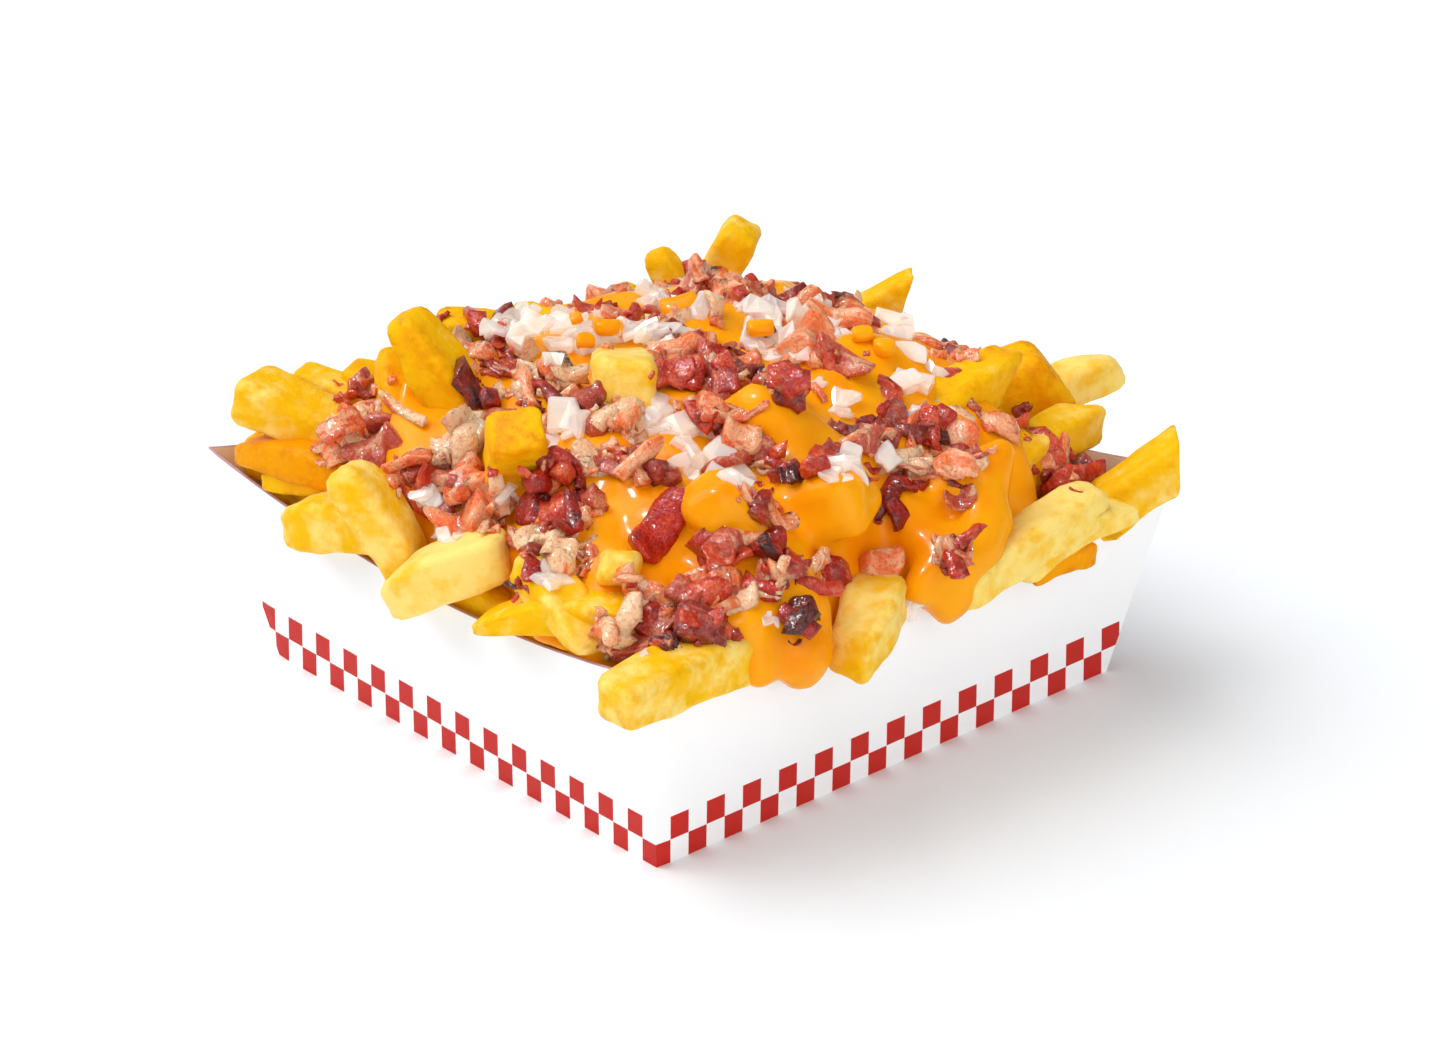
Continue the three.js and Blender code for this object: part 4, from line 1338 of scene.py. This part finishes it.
# chips that stand out: middle, half-length and half-width in the photo, heading there in degrees, kind
singleChips = {
    "fatUpright": (466, 440, 42, 12, 80, "f"),
    "crestSquare": (787, 382, 22, 18, -10, "l"),
    "crestChunk": (843, 362, 28, 20, -30, "p"),
    "cornerBig": (710, 594, 26, 17, -8, "l"),
    "cornerStrip": (702, 620, 24, 8, 4, "l"),
    "middleStripUp": (735, 415, 32, 8, 8, "p"),
    "middleStripLow": (640, 455, 30, 9, 38, "p"),
    "farDiceOne": (1048, 462, 17, 13, 20, "p"),
    "farDiceTwo": (1078, 468, 16, 14, -15, "l"),
    "farDiceThree": (1060, 480, 18, 9, 5, "l"),
    "bandOne": (935, 470, 22, 15, -12, "p"),
    "bandTwo": (960, 500, 18, 12, 10, "p"),
    "darkLump": (538, 484, 15, 12, 20, "c"),
    "darkUpright": (572, 514, 22, 11, 98, "c"),
    "charredDrop": (799, 622, 17, 12, 65, "c"),
    "charUpright": (765, 546, 14, 6, 105, "c"),
    "curlPinkLeft": (783, 568, 16, 6, 75, "f"),
    "curlPinkRight": (818, 562, 16, 7, 60, "f"),
    "charredCurl": (884, 508, 17, 7, 55, "c"),
    "charredStick": (904, 487, 16, 3, -8, "c"),
    "topUpright": (698, 270, 17, 7, 115, "p"),
    "ridgeStrip": (672, 349, 28, 15, 22, "p"),
    "ridgeBlock": (675, 374, 20, 16, 5, "l"),
    "ridgePale": (622, 316, 23, 9, -6, "p"),
    "crownUpright": (500, 338, 17, 7, 80, "l"),
    "crownBlock": (480, 352, 14, 9, 20, "p"),
    "dropDark": (762, 330, 14, 5, -5, "c"),
    "crownBand": (838, 315, 36, 9, -18, "p"),
    "crestPurpleOne": (724, 366, 11, 10, 30, "l"),
    "leftRed": (448, 508, 20, 9, -62, "l"),
    "paleBand": (912, 466, 22, 10, 4, "f"),
    "redBand": (955, 466, 24, 13, 4, "p"),
    "leftFold": (342, 428, 26, 14, 35, "p"),
    "leftFoldTwo": (330, 440, 22, 9, 70, "f"),
    "dropPale": (570, 374, 18, 8, 5, "f"),
    "eastCrownOne": (928, 343, 14, 8, -20, "p"),
    "eastCrownTwo": (952, 354, 12, 7, -35, "l"),
    "eastCrownThree": (968, 352, 13, 7, 10, "p"),
    "eastCrownFour": (850, 308, 16, 9, -15, "p"),
    "eastCrownFive": (866, 318, 14, 7, -25, "l"),
    "lowPaleOne": (530, 540, 20, 9, 15, "f"),
    "lowPaleTwo": (560, 548, 20, 9, -10, "f"),
    "flatDark": (905, 430, 20, 9, -12, "l"),
    "diceRed": (998, 424, 18, 13, -15, "p"),
    "hangingPink": (610, 632, 18, 8, 100, "f"),
    "charLump": (790, 476, 12, 9, 10, "c"),
    "eastTriangle": (889, 396, 15, 14, 70, "l"),
    "eastOrange": (852, 441, 17, 9, 10, "p"),
    "eastCrumb": (836, 430, 12, 8, -30, "l"),
    "cornerMauve": (720, 556, 16, 11, 20, "l"),
}
# the same for onion
singleOnions = {
    "eastTop": (887, 322, 10, 14, 80),
    "eastWide": (908, 352, 18, 10, -10),
    "eastLow": (936, 372, 12, 8, -30),
    "eastCrown": (903, 380, 16, 10, 20),
}
# the larger chips: where they lie seen from above, heading in degrees, length, width and thickness
largeBacon = {
    "redStrip": (47.5, -48.5, 98, 24, 10, 4, "r"),
    "darkCurl": (22, -60, 20, 12, 9, 6, "c"),
    "purpleCurl": (29, -60, -40, 14, 7, 6, "l"),
    "pinkPair": (7, -68, 60, 14, 11, 7, "p"),
    "leftFold": (-40, -64, 15, 15, 12, 6, "p"),
    "leftLump": (-28, -64, 70, 13, 11, 8, "p"),
    "cornerRag": (62, -68, 80, 18, 10, 6, "p"),
    "cornerSlab": (68, -50, 30, 17, 12, 5, "p"),
    "cornerDark": (71, -57, 40, 14, 8, 5, "l"),
    "sauceDice": (72, -10, 60, 10, 7, 6, "p"),
    "rightCluster": (56, 20, 20, 16, 13, 6, "p"),
    "rightTop": (44, 38, 50, 15, 10, 6, "l"),
    "farDice": (66, 54, 35, 15, 12, 7, "l"),
    "purpleTop": (22, 14, 35, 14, 12, 7, "p"),
    "centreSlab": (22, -8, 75, 16, 12, 6, "p"),
    "centreRed": (8, -6, 10, 17, 11, 6, "l"),
    "topStrip": (-34, 34, 115, 17, 5, 4, "l"),
    "sideChip": (62, -26, 100, 12, 9, 5, "p"),
}
lumpStyle = {"flakes": 0.0}
ownStyles = {
    "redStrip": {"flakes": 0.0, "ragged": 0.16, "bend": 0.3, "twist": 0.5, "rounding": 0.7},
    "rightCluster": lumpStyle,
    "leftLump": lumpStyle,
    "farDice": {"flakes": 0.0, "ragged": 0.5, "jitter": 0.34, "rounding": 0.4},
    "purpleCurl": lumpStyle,
}
largeOnion = {
    "centreFlake": (30, -28, 70, 14, 10, 4),
    "upperFlake": (18, -30, 20, 13, 9, 4),
    "lowerFlake": (44, -30, -10, 12, 9, 4),
    "topChunk": (6, 12, 50, 14, 11, 5),
    "leftFlake": (12, -48, -20, 14, 8, 4),
    "rightFlake": (52, 4, 40, 13, 9, 4),
    "backFlake": (-30, -8, 10, 13, 10, 4),
}
chipSink = 0.35
meatTones = {"p": 0.3, "f": 0.0, "l": 0.7, "c": 1.0, "r": 0.9}


# how the small bits are spread in each cluster, and how they lie
scatter = {
    "seed": 77,
    "layers": 3,  # bacon in all but the last, which is for onion
    "second": 0.45,  # share of the chips that bring a smaller one
    "smaller": (0.35, 0.7),
    "crumb": (2.2, 3.6),
    "wider": (1.2, 1.3),  # how much wider the smaller ones and the crumbs are spread
    "onion": (0.85, 0.5),  # the two sizes of onion bits
    "slope": 0.75,  # shares of the surface's own slope, of straight up and of chance in how a bit leans
    "upright": 0.45,
    "chance": 0.7,
    "lift": 0.22,
    "margin": 0.75,  # how far a bare place is widened, as a share of a bit's length
    "above": 30,
    "below": 93.0,
    "detail": ((7, 10), (5, 8)),  # rings and points round a ring, for bits over 5 mm and under
}


def chipShape(middle, normal, along, long, wide, thick, style, seed, rings, around):
    # A rounded oblong profile is carried along a bent path. The width swells as a superellipse of the place
    # along it, the edges are made ragged by noise, and the whole is curled across.
    draw = seeded(seed * 104729 + 7)
    across = np.cross(normal, along)
    t = np.linspace(0, 1, rings + 2)[1:-1]
    t = t + 0.25 / rings * np.sin(2 * np.pi * t)
    place = 2 * t - 1
    width = (1 - np.abs(place) ** between(draw, (2.5, 5))) ** 0.4
    turn = 2 * np.pi * (np.arange(around) + 0.5 * draw()) / around
    power = style["rounding"]
    c, s = np.cos(turn), np.sin(turn)
    profile = np.stack([np.sign(c) * np.abs(c) ** power, np.sign(s) * np.abs(s) ** power], -1)
    size = width[:, None] * np.ones(around)
    a = place[:, None] * long / 2 * np.ones(around)
    b = profile[:, 0] * size * wide / 2
    h = profile[:, 1] * np.sqrt(size) * thick / 2
    flat = np.stack([a, b, h], -1)
    jag = noise(flat + 37.0 * seed, max(long, wide) * 0.36, seed)
    grown = 1 + style["ragged"] * jag * 1.4
    a, b = a * (1 + 0.5 * style["ragged"] * jag), b * grown
    h = h * (1 + 0.6 * style["ragged"] * noise(flat + 11.0 * seed, wide * 0.35, seed + 5))
    fine = style["jitter"] * thick * noise(flat + 5.0 * seed, min(wide, thick) * 0.45, seed + 9)
    b, h = b + profile[:, 0] * fine, h + profile[:, 1] * fine
    roll = style["twist"] * between(draw, (-1, 1)) * place[:, None]
    b, h = turned(b, h, roll)
    bend, curl = [style["bend"] * between(draw, (-1, 1)) for _ in range(2)]
    wave = 0.3 * style["bend"] * long * np.sin(between(draw, (2, 5)) * place + 6 * draw())
    h = h + bend * long * (place[:, None] ** 2 - 0.3) + curl * wide * ((b / wide * 2) ** 2 - 0.3)
    h = h + wave[:, None]
    skew = 0.25 * wide * math.sin(6 * draw()) * (place ** 2)
    b = b + skew[:, None]
    points = inSpace(middle, (along, across, normal), a, b, h)
    first = points[0].mean(0) - along * long * 0.02
    last = points[-1].mean(0) + along * long * 0.02
    return points, first, last, profile, place


# corners of the flat-sided profile: half-width and half-thickness
flakeProfile = ((1, 0.45), (0.8, 1), (-0.8, 1), (-1, 0.45), (-1, -0.45), (-0.8, -1), (0.8, -1), (1, -0.45))


def flakeShape(middle, normal, along, long, wide, thick, style, seed, rings):
    # A box with bevelled edges: the profile is carried along a straight path in rings that differ in width,
    # thickness and place. One side is thinner, and the whole is curled like a layer and a little torn.
    draw = seeded(seed * 104729 + 11)
    across = np.cross(normal, along)
    profile = np.array(flakeProfile)
    place = np.concatenate([[-1.0], np.linspace(-0.92, 0.92, rings - 2), [1.0]])
    grown = np.array([between(draw, (0.55, 1.1)) for _ in range(rings)])
    grown[0], grown[-1] = grown[1], grown[-2]
    bevel = np.ones(rings)
    bevel[0], bevel[-1] = between(draw, (0.35, 0.8)), between(draw, (0.35, 0.8))
    shift = np.array([between(draw, (-0.12, 0.12)) for _ in range(rings)]) * wide
    slant = [between(draw, (-0.6, 0.6)) for _ in range(2)]
    wedge = between(draw, (-0.5, 0.5))
    b = profile[:, 0] * (grown * bevel)[:, None] * wide / 2
    slanted = np.where(place[:, None] > 0, slant[0], slant[1])
    a = place[:, None] * long / 2 + slanted * b * np.abs(place[:, None])
    h = profile[:, 1] * bevel[:, None] * thick / 2 * (1 + wedge * b / wide * 2)
    b = b + shift[:, None]
    flat = np.stack([a, b, h], -1)
    torn = [noise(flat + (31.0 + k) * seed, wide * 0.5, seed + k) for k in range(3)]
    tear = style["ragged"] * np.stack(torn, -1)
    a, b, h = a + tear[..., 0] * wide * 0.5, b + tear[..., 1] * wide * 0.5, h + tear[..., 2] * thick * 0.6
    roll = style["twist"] * between(draw, (-1, 1)) * place[:, None]
    b, h = turned(b, h, roll)
    bend, curl = style["bend"] * between(draw, (-1, 1)), style["bend"] * between(draw, (0, 1.6))
    h = h + bend * long * (place[:, None] ** 2 - 0.3) - curl * wide * ((b / wide * 2) ** 2 - 0.3)
    points = inSpace(middle, (along, across, normal), a, b, h)
    return points, points[0].mean(0), points[-1].mean(0), profile, place


def addChip(gathered, middle, normal, along, size, style, tone, seed, rings, around):
    # its look at each point: the place across, the tone, the place along and a number of its own
    if (seed * 0.7548) % 1 < style["flakes"]:
        rings, around = max(6, rings // 2), len(flakeProfile)
        shape = flakeShape(middle, normal, along, *size, style, seed, rings)
    else:
        shape = chipShape(middle, normal, along, *size, style, seed, rings, around)
    points, first, last, profile, place = shape
    own = (seed * 0.618) % 1
    across, lengthwise = profile[:, 0] * 0.5 + 0.5, place[:, None] * 0.5 + 0.5
    looks = np.stack(np.broadcast_arrays(across, tone, lengthwise, own), -1)
    looks = withPoles(looks, (0.5, tone, 0.0, own), (0.5, tone, 1.0, own))
    gathered.add(withPoles(points, first, last), *tubeFaces(rings, around), looks)


def headingOn(normal, angle):
    # a direction on the surface, at an angle from the picture's right
    level = unit(right - normal * (right @ normal))
    return math.cos(angle) * level + math.sin(angle) * np.cross(normal, level)


def surfaceTree(parts):
    # all the surfaces as one, for rays to strike
    points, faces, count = [], [], 0
    for somePoints, quads, tris in parts:
        points.append(somePoints)
        faces += (quads + count).tolist() + (tris + count).tolist()
        count += len(somePoints)
    return BVHTree.FromPolygons(np.concatenate(points).tolist(), faces)


def struck(tree, start, direction):
    # the first place that a ray meets, and the normal there, turned towards where the ray comes from
    place, normal, _, _ = tree.ray_cast(Vector(start), Vector(direction), 3000)
    if place is None:
        return None
    normal = np.array(normal)
    return np.array(place), normal if normal @ direction < 0 else -normal


def onionSize(draw, long):
    # the width and the thickness are drawn shares of the length
    long = long * between(draw, (0.8, 1.2))
    return long, long * between(draw, (0.55, 0.95)), long * between(draw, (0.22, 0.4))


def isBare(px, py, long):
    # inside one of the bare places, each widened by part of the chip's length
    margin = scatter["margin"] * long
    places = keptClear.values()
    return any(((px - x) / (w + margin)) ** 2 + ((py - y) / (h + margin)) ** 2 < 1 for x, y, w, h in places)


def placeChip(gathered, tree, start, direction, size, style, tone, seed, draw, detail):
    # the bit lies on what the ray strikes, unless that is too low or the bit would stand too high
    hit = struck(tree, start, direction)
    if hit is None or hit[0][2] < scatter["above"]:
        return
    place, normal = hit
    lean = np.array([draw() - 0.5 for _ in range(3)]) * scatter["chance"]
    normal = unit(normal * scatter["slope"] + np.array([0, 0, scatter["upright"]]) + lean)
    along = headingOn(normal, 2 * math.pi * draw())
    middle = place + normal * size[2] * scatter["lift"]
    axes = along, np.cross(normal, along), normal
    if middle[2] + sum(abs(axis[2]) * reach / 2 for axis, reach in zip(axes, size)) <= scatter["below"]:
        addChip(gathered, middle, normal, along, size, style, tone, seed, *detail)


def chipSize(draw, long):
    # one in three is a strip, the others are flakes and lumps
    long = long * between(draw, (0.75, 1.25))
    if draw() < 0.35:
        return long * 1.3, long * between(draw, (0.3, 0.5)), long * between(draw, (0.14, 0.28))
    return long, long * between(draw, (0.55, 0.95)), min(long * between(draw, (0.2, 0.5)), 4.0)


# how the single chips lie, broad side to the camera and partly up
single = {
    "lower": (0, 6, 12, 18),  # pixels further down that are tried where a ray strikes nothing
    "towards": 0.8,
    "upright": 0.5,
    "grown": 2.1,  # their whole length and width beside the half ones in the table
    "thick": 0.5,  # thickness beside the half-width, but no more pixels than the next
    "thickest": 9,
    "thinnest": 1.4,  # millimetres
    "lift": 0.6,
    "detail": (12, 14),
}


def layOnSurface(gathered, tree, px, py, halfLong, halfWide, turn, style, tone, seed):
    # the ray through its middle gives the place, or the first one below it that strikes something
    for lower in single["lower"]:
        start, direction = rayThrough(px, py + lower)
        hit = struck(tree, start, direction)
        if hit is not None:
            break
    place = hit[0]
    scale = np.linalg.norm(place - start) / focal
    normal = unit(back * single["towards"] + np.array([0, 0, single["upright"]]))
    along = headingOn(normal, math.radians(turn))
    thick = min(single["thick"] * halfWide, single["thickest"]) * scale
    grown, middle = single["grown"], place + normal * thick * single["lift"]
    size = grown * halfLong * scale, grown * halfWide * scale, max(thick, single["thinnest"])
    addChip(gathered, middle, normal, along, size, style, tone, seed, *single["detail"])


def waitingBits(draw):
    # for each chip named in the table a crumb and now and then a smaller chip besides
    waiting = []
    wide, wider = scatter["wider"]
    for x, y, rx, ry, letters, long in baconPlaces.values():
        for letter in letters:
            waiting.append((x, y, rx, ry, letter, long))
            if draw() < scatter["second"]:
                smaller = long * between(draw, scatter["smaller"])
                waiting.append((x, y, rx * wide, ry * wide, letter, smaller))
            waiting.append((x, y, rx * wider, ry * wider, letter, between(draw, scatter["crumb"])))
    large, small = scatter["onion"]
    for x, y, rx, ry, count, long in onionPlaces.values():
        waiting += [(x, y, rx, ry, "onion", long * large)] * count
        waiting += [(x, y, rx * wide, ry * wide, "onion", long * small)] * (count - count // 3)
    return waiting


def scatterToppings():
    # Rays go through pixels spread evenly over each cluster's ellipse: the root of one draw for the distance
    # from its middle, another for the angle. Each layer lies on the ones before it.
    kinds = {kind: Gathered() for kind in pieceNames}
    base = [(pilePoints, pileQuads, pileTris), (saucePoints, sauceQuads, noTris)]
    draw = seeded(scatter["seed"])
    waiting = waitingBits(draw)
    seed = 1000
    last = scatter["layers"] - 1
    for layer in range(scatter["layers"]):
        tree = surfaceTree(base + [k.surface() for k in kinds.values() if k.count])
        for number, (x, y, rx, ry, kind, long) in enumerate(waiting):
            if layer != (last if kind == "onion" else number % last):
                continue
            seed += 1
            r, a = math.sqrt(draw()), 2 * math.pi * draw()
            px, py = x + rx * r * math.cos(a), y + ry * r * math.sin(a)
            if isBare(px, py, long):
                continue
            style, sized = (onion, onionSize) if kind == "onion" else (bacon, chipSize)
            detail = scatter["detail"][0 if long > 5 else 1]
            size, tone = sized(draw, long), meatTones.get(kind, 0.0)
            placeChip(kinds[kind], tree, *rayThrough(px, py), size, style, tone, seed, draw, detail)
    tree = surfaceTree(base + [k.surface() for k in kinds.values()])
    for number, (x, y, halfLong, halfWide, turn, kind) in enumerate(singleChips.values()):
        layOnSurface(kinds[kind], tree, x, y, halfLong, halfWide, turn, bacon, meatTones[kind], 7000 + number)
    for number, (x, y, halfLong, halfWide, turn) in enumerate(singleOnions.values()):
        layOnSurface(kinds["onion"], tree, x, y, halfLong, halfWide, turn, onion, 0.0, 7500 + number)
    scatterBehind(kinds, base, draw)
    return kinds


# toppings on the slopes that the photo doesn't show
behind = {
    "tries": 860,
    "middle": (-6.0, 10.0),
    "radius": 64.0,
    "letters": "plpfplpfcplo",
    "long": (5.0, 8.0),
}


def scatterBehind(kinds, base, draw):
    # rays straight down, spread evenly over a circle; what the camera sees is left out
    tree = surfaceTree(base)
    eye = back * camera["distance"]
    down = np.array([0, 0, -1.0])
    middleX, middleY = behind["middle"]
    for number in range(behind["tries"]):
        radius, turn = behind["radius"] * math.sqrt(draw()), 2 * math.pi * draw()
        start = np.array([middleX + radius * math.cos(turn), middleY + radius * math.sin(turn), 200])
        letter = behind["letters"][int(draw() * len(behind["letters"]))]
        long = between(draw, behind["long"])
        hit = struck(tree, start, down)
        if hit is None:
            continue
        place, normal = hit
        towards = unit(eye - place)
        if tree.ray_cast(Vector(place + normal * 1.5 + towards), Vector(towards), 3000)[0] is None:
            continue
        kind, style, sized = ("onion", onion, onionSize) if letter == "o" else (letter, bacon, chipSize)
        size, tone, detail = sized(draw, long), meatTones.get(letter, 0.0), scatter["detail"][0]
        placeChip(kinds[kind], tree, start, down, size, style, tone, 5000 + number, draw, detail)


def meatMaterial():
    # pink to lean by the chip's tone and clouds, streaked along its length with fat, with crust and char
    made, tree, shader = newMaterial("bacon")
    across, tone, along, number = looksOf(tree)
    join = tree.nodes.new("ShaderNodeCombineXYZ")
    for value, socket in zip((across * 1.7, along * 1.0, number * 40.0), join.inputs):
        plug(value, socket)
    streak = addNode(tree, "ShaderNodeTexNoise", Scale=1.5, Detail=4.0, Roughness=0.55, Distortion=0.8)
    tree.links.new(join.outputs[0], streak.inputs["Vector"])
    fine, patch, grains, pits = [speckle(tree, *way) for way in ((1.5, 4), (4.0, 4), (0.7, 2), (1.1, 3))]
    own = worked("FRACT", number * 7.31)
    meatTone = tone + (own - 0.5) * 0.35
    colour = (meatTone + (patch - 0.5) * 0.9).steps(0.15, 0.75).mixed(bacon["pink"], bacon["lean"])
    colour = (own.steps(0.62, 0.75) * 0.7).mixed(colour, bacon["mauve"])
    marbled = 1.0 - tone.steps(0.72, 0.8)  # the leanest and the charred are plain
    fatShare = (Signal(streak.outputs["Fac"]) - meatTone * 0.5 + 0.11).steps(0.43, 0.56)
    fatShare = fatShare * (1.0 - tone * 0.85) * marbled
    colour = (fatShare * (0.85 - tone * 0.6)).mixed(colour, bacon["fat"])
    crust = speckle(tree, 6, 2).steps(0.5, 0.7) * (0.36 - tone * 0.28)
    colour = (crust * marbled).mixed(colour, bacon["crust"])
    colour = (meatTone * 0.55 + patch * 0.6).steps(0.62, 1.0).mixed(colour, bacon["charred"])
    colour = (fine.steps(0.5, 0.66) * ((0.3 - tone * 0.22) * marbled)).mixed(colour, bacon["fat"])
    colour = (pits.steps(0.54, 0.7) * 0.5).mixed(colour, bacon["lean"])
    finish(shader, bacon["shader"], colour=colour, roughness=fine * 0.35 + 0.18)
    addBump(tree, shader, fine * 1.2 + grains * 0.6 - pits * 0.8, 0.9, 1.0)
    addBump(tree, shader, speckle(tree, 1.9, 3), 0.8, 1.0, "Coat Normal")  # the wet film is smoother
    return made


def onionMaterial():
    # milky with clear patches, and veins by the sine of the place across the piece
    made, tree, shader = newMaterial("onion")
    across, _, _, number = looksOf(tree)
    vein = worked("SINE", across * 26.0 + number * 40.0).steps(0.3, 1.0) * 0.15
    clear = speckle(tree, 5, 3).steps(0.42, 0.7) * 0.7
    colour = vein.mixed(clear.mixed(onion["flesh"], onion["clear"]), onion["vein"])
    finish(shader, onion["shader"], colour=colour)
    addBump(tree, shader, speckle(tree, 2.5, 2), 0.2, 0.4)
    return made


def largeChipPieces(listed, kind, style, material):
    # each lies on the heap's slope at its place, sunk by a share of its thickness
    for number, (name, (x, y, turn, long, wide, thick, *letter)) in enumerate(listed.items()):
        step = 3
        slopeX = (heapHeight(x + step, y) - heapHeight(x - step, y)) / (2 * step)
        slopeY = (heapHeight(x, y + step) - heapHeight(x, y - step)) / (2 * step)
        normal = unit(np.array([-slopeX, -slopeY, 1.0]))
        level = np.array([math.cos(math.radians(turn)), math.sin(math.radians(turn)), 0.0])
        along = unit(level - normal * (level @ normal))
        middle = np.array([x, y, float(coreHeight(x, y))]) + normal * (thick * (0.5 - chipSink) + 0.5)
        gathered = Gathered()
        tone = meatTones[letter[0]] if letter else 0.0
        own = {**style, **ownStyles.get(name, {})}
        size, seed = (long, wide, thick), 500 + 31 * number
        addChip(gathered, middle, normal, along, size, own, tone, seed, *style["detail"])
        points, quads, tris, looks = gathered.joined()
        node = kind + "_" + name
        pieceName = kind + name[0].upper() + name[1:]
        addPiece(pieceName, points, quads, tris, looks, material, [node], smooth=kind == "bacon")


meat, flesh = meatMaterial(), onionMaterial()
largeChipPieces(largeBacon, "bacon", bacon, meat)
largeChipPieces(largeOnion, "onion", onion, flesh)
print("large chips made")

pieceNames = {
    "p": "baconPink",
    "f": "baconFatty",
    "l": "baconLean",
    "c": "baconCharred",
    "onion": "onionDice",
}
scattered = scatterToppings()
for kind, gathered in scattered.items():
    points, quads, tris, looks = gathered.joined()
    name, smooth = pieceNames[kind], kind != "onion"
    slotName, material = ("bacon", meat) if smooth else ("onion", flesh)
    addPiece(name, points, quads, tris, looks, material, ["fries_heap"], smooth)
    print(name, "made:", len(gathered.points), "chips")


# drops of sauce on top of the toppings: middle, half-width and half-height in the photo
sauceDrops = {
    "onTop": (681, 312, 22, 10),
    "besideOnion": (760, 332, 15, 7),
    "ridge": (606, 332, 15, 7),
    "ridgeLow": (584, 343, 10, 6),
    "crown": (578, 322, 7, 5),
    "east": (862, 338, 12, 7),
    "eastLow": (884, 352, 12, 8),
}
dropStyle = {
    "flakes": 0.0,
    "rounding": 1.0,
    "ragged": 0.08,
    "bend": 0.0,
    "twist": 0.0,
    "jitter": 0.0,
    "long": 2,  # length beside the half-width, then width and thickness beside the half-height
    "wide": 3,
    "thick": 2.2,
    "slope": 0.4,
    "upright": 0.8,
    "lift": 1.1,
    "turn": 0.2,
    "detail": (14, 18),
}


def makeDrops():
    # each is a round lump where the ray through its pixel strikes, leaning between that slope and level
    base = [(pilePoints, pileQuads, pileTris), (saucePoints, sauceQuads, noTris)]
    tree = surfaceTree(base + [k.surface() for k in scattered.values()])
    gathered = Gathered()
    for number, (x, y, halfWidth, halfHeight) in enumerate(sauceDrops.values()):
        start, direction = rayThrough(x, y)
        place, normal = struck(tree, start, direction)
        normal = unit(normal * dropStyle["slope"] + np.array([0, 0, dropStyle["upright"]]))
        scale = np.linalg.norm(place - start) / focal
        halves = zip(("long", "wide", "thick"), (halfWidth, halfHeight, halfHeight))
        size = [dropStyle[key] * half * scale for key, half in halves]
        middle, along = place + normal * dropStyle["lift"], headingOn(normal, dropStyle["turn"])
        addChip(gathered, middle, normal, along, size, dropStyle, 0.0, 8000 + number, *dropStyle["detail"])
    points, quads, tris, _ = gathered.joined()
    material = bpy.data.materials["cheeseSauce"]
    addPiece("sauceDrops", points, quads, tris, None, material, ["fries_heap"])


makeDrops()
print("drops made")

studio = {
    "floorHalf": 6.0,  # metres
    "floor": (0.9, 0.93, 0.965),
    "world": 0.29,
    "keyStrength": 2.7,
    "keyAngle": 66.0,
    "keyFrom": (-0.72, 0.12, 1.0),  # right, behind and up, seen from the camera
    "sparkleStrength": 3.8,  # this one is seen only in what shines
    "sparkleAngle": 10.0,
    "sparkleFrom": (-0.5, -0.1, 1.0),
    "fillStrength": 1.35,
    "fillAngle": 60.0,
    "fillFrom": (0.5, -1.0, 0.5),
}


def makeStudio():
    # a square floor, an even world, and three suns whose directions are given from the camera
    floor = bpy.data.meshes.new("floor")
    half = studio["floorHalf"]
    corners = [(-half, -half, 0), (half, -half, 0), (half, half, 0), (-half, half, 0)]
    floor.from_pydata(corners, [], [(0, 1, 2, 3)])
    made, _, shader = newMaterial("paleFloor")
    finish(shader, {"Base Color": (*studio["floor"], 1), "Roughness": 0.9})
    floor.materials.append(made)
    floorObject = bpy.data.objects.new("floor", floor)
    bpy.context.collection.objects.link(floorObject)
    world = bpy.data.worlds.new("studio")
    world.use_nodes = True
    world.node_tree.nodes["Background"].inputs[0].default_value = (1, 1, 1, 1)
    world.node_tree.nodes["Background"].inputs[1].default_value = studio["world"]
    bpy.context.scene.world = world
    away = unit(np.array([-back[0], -back[1], 0.0]))
    for name in ("key", "sparkle", "fill"):
        sideways, behind, high = studio[name + "From"]
        source = right * sideways + away * behind + np.array([0, 0, high])
        data = bpy.data.lights.new(name, "SUN")
        data.energy, data.angle = studio[name + "Strength"], math.radians(studio[name + "Angle"])
        light = bpy.data.objects.new(name, data)
        light.location = Vector(unit(source))
        light.rotation_mode = "QUATERNION"
        light.rotation_quaternion = Vector(-source).to_track_quat("-Z", "Y")
        light.visible_diffuse = name != "sparkle"
        bpy.context.collection.objects.link(light)
    bpy.context.scene.view_settings.view_transform = "Standard"


makeStudio()
print("floor and light made")
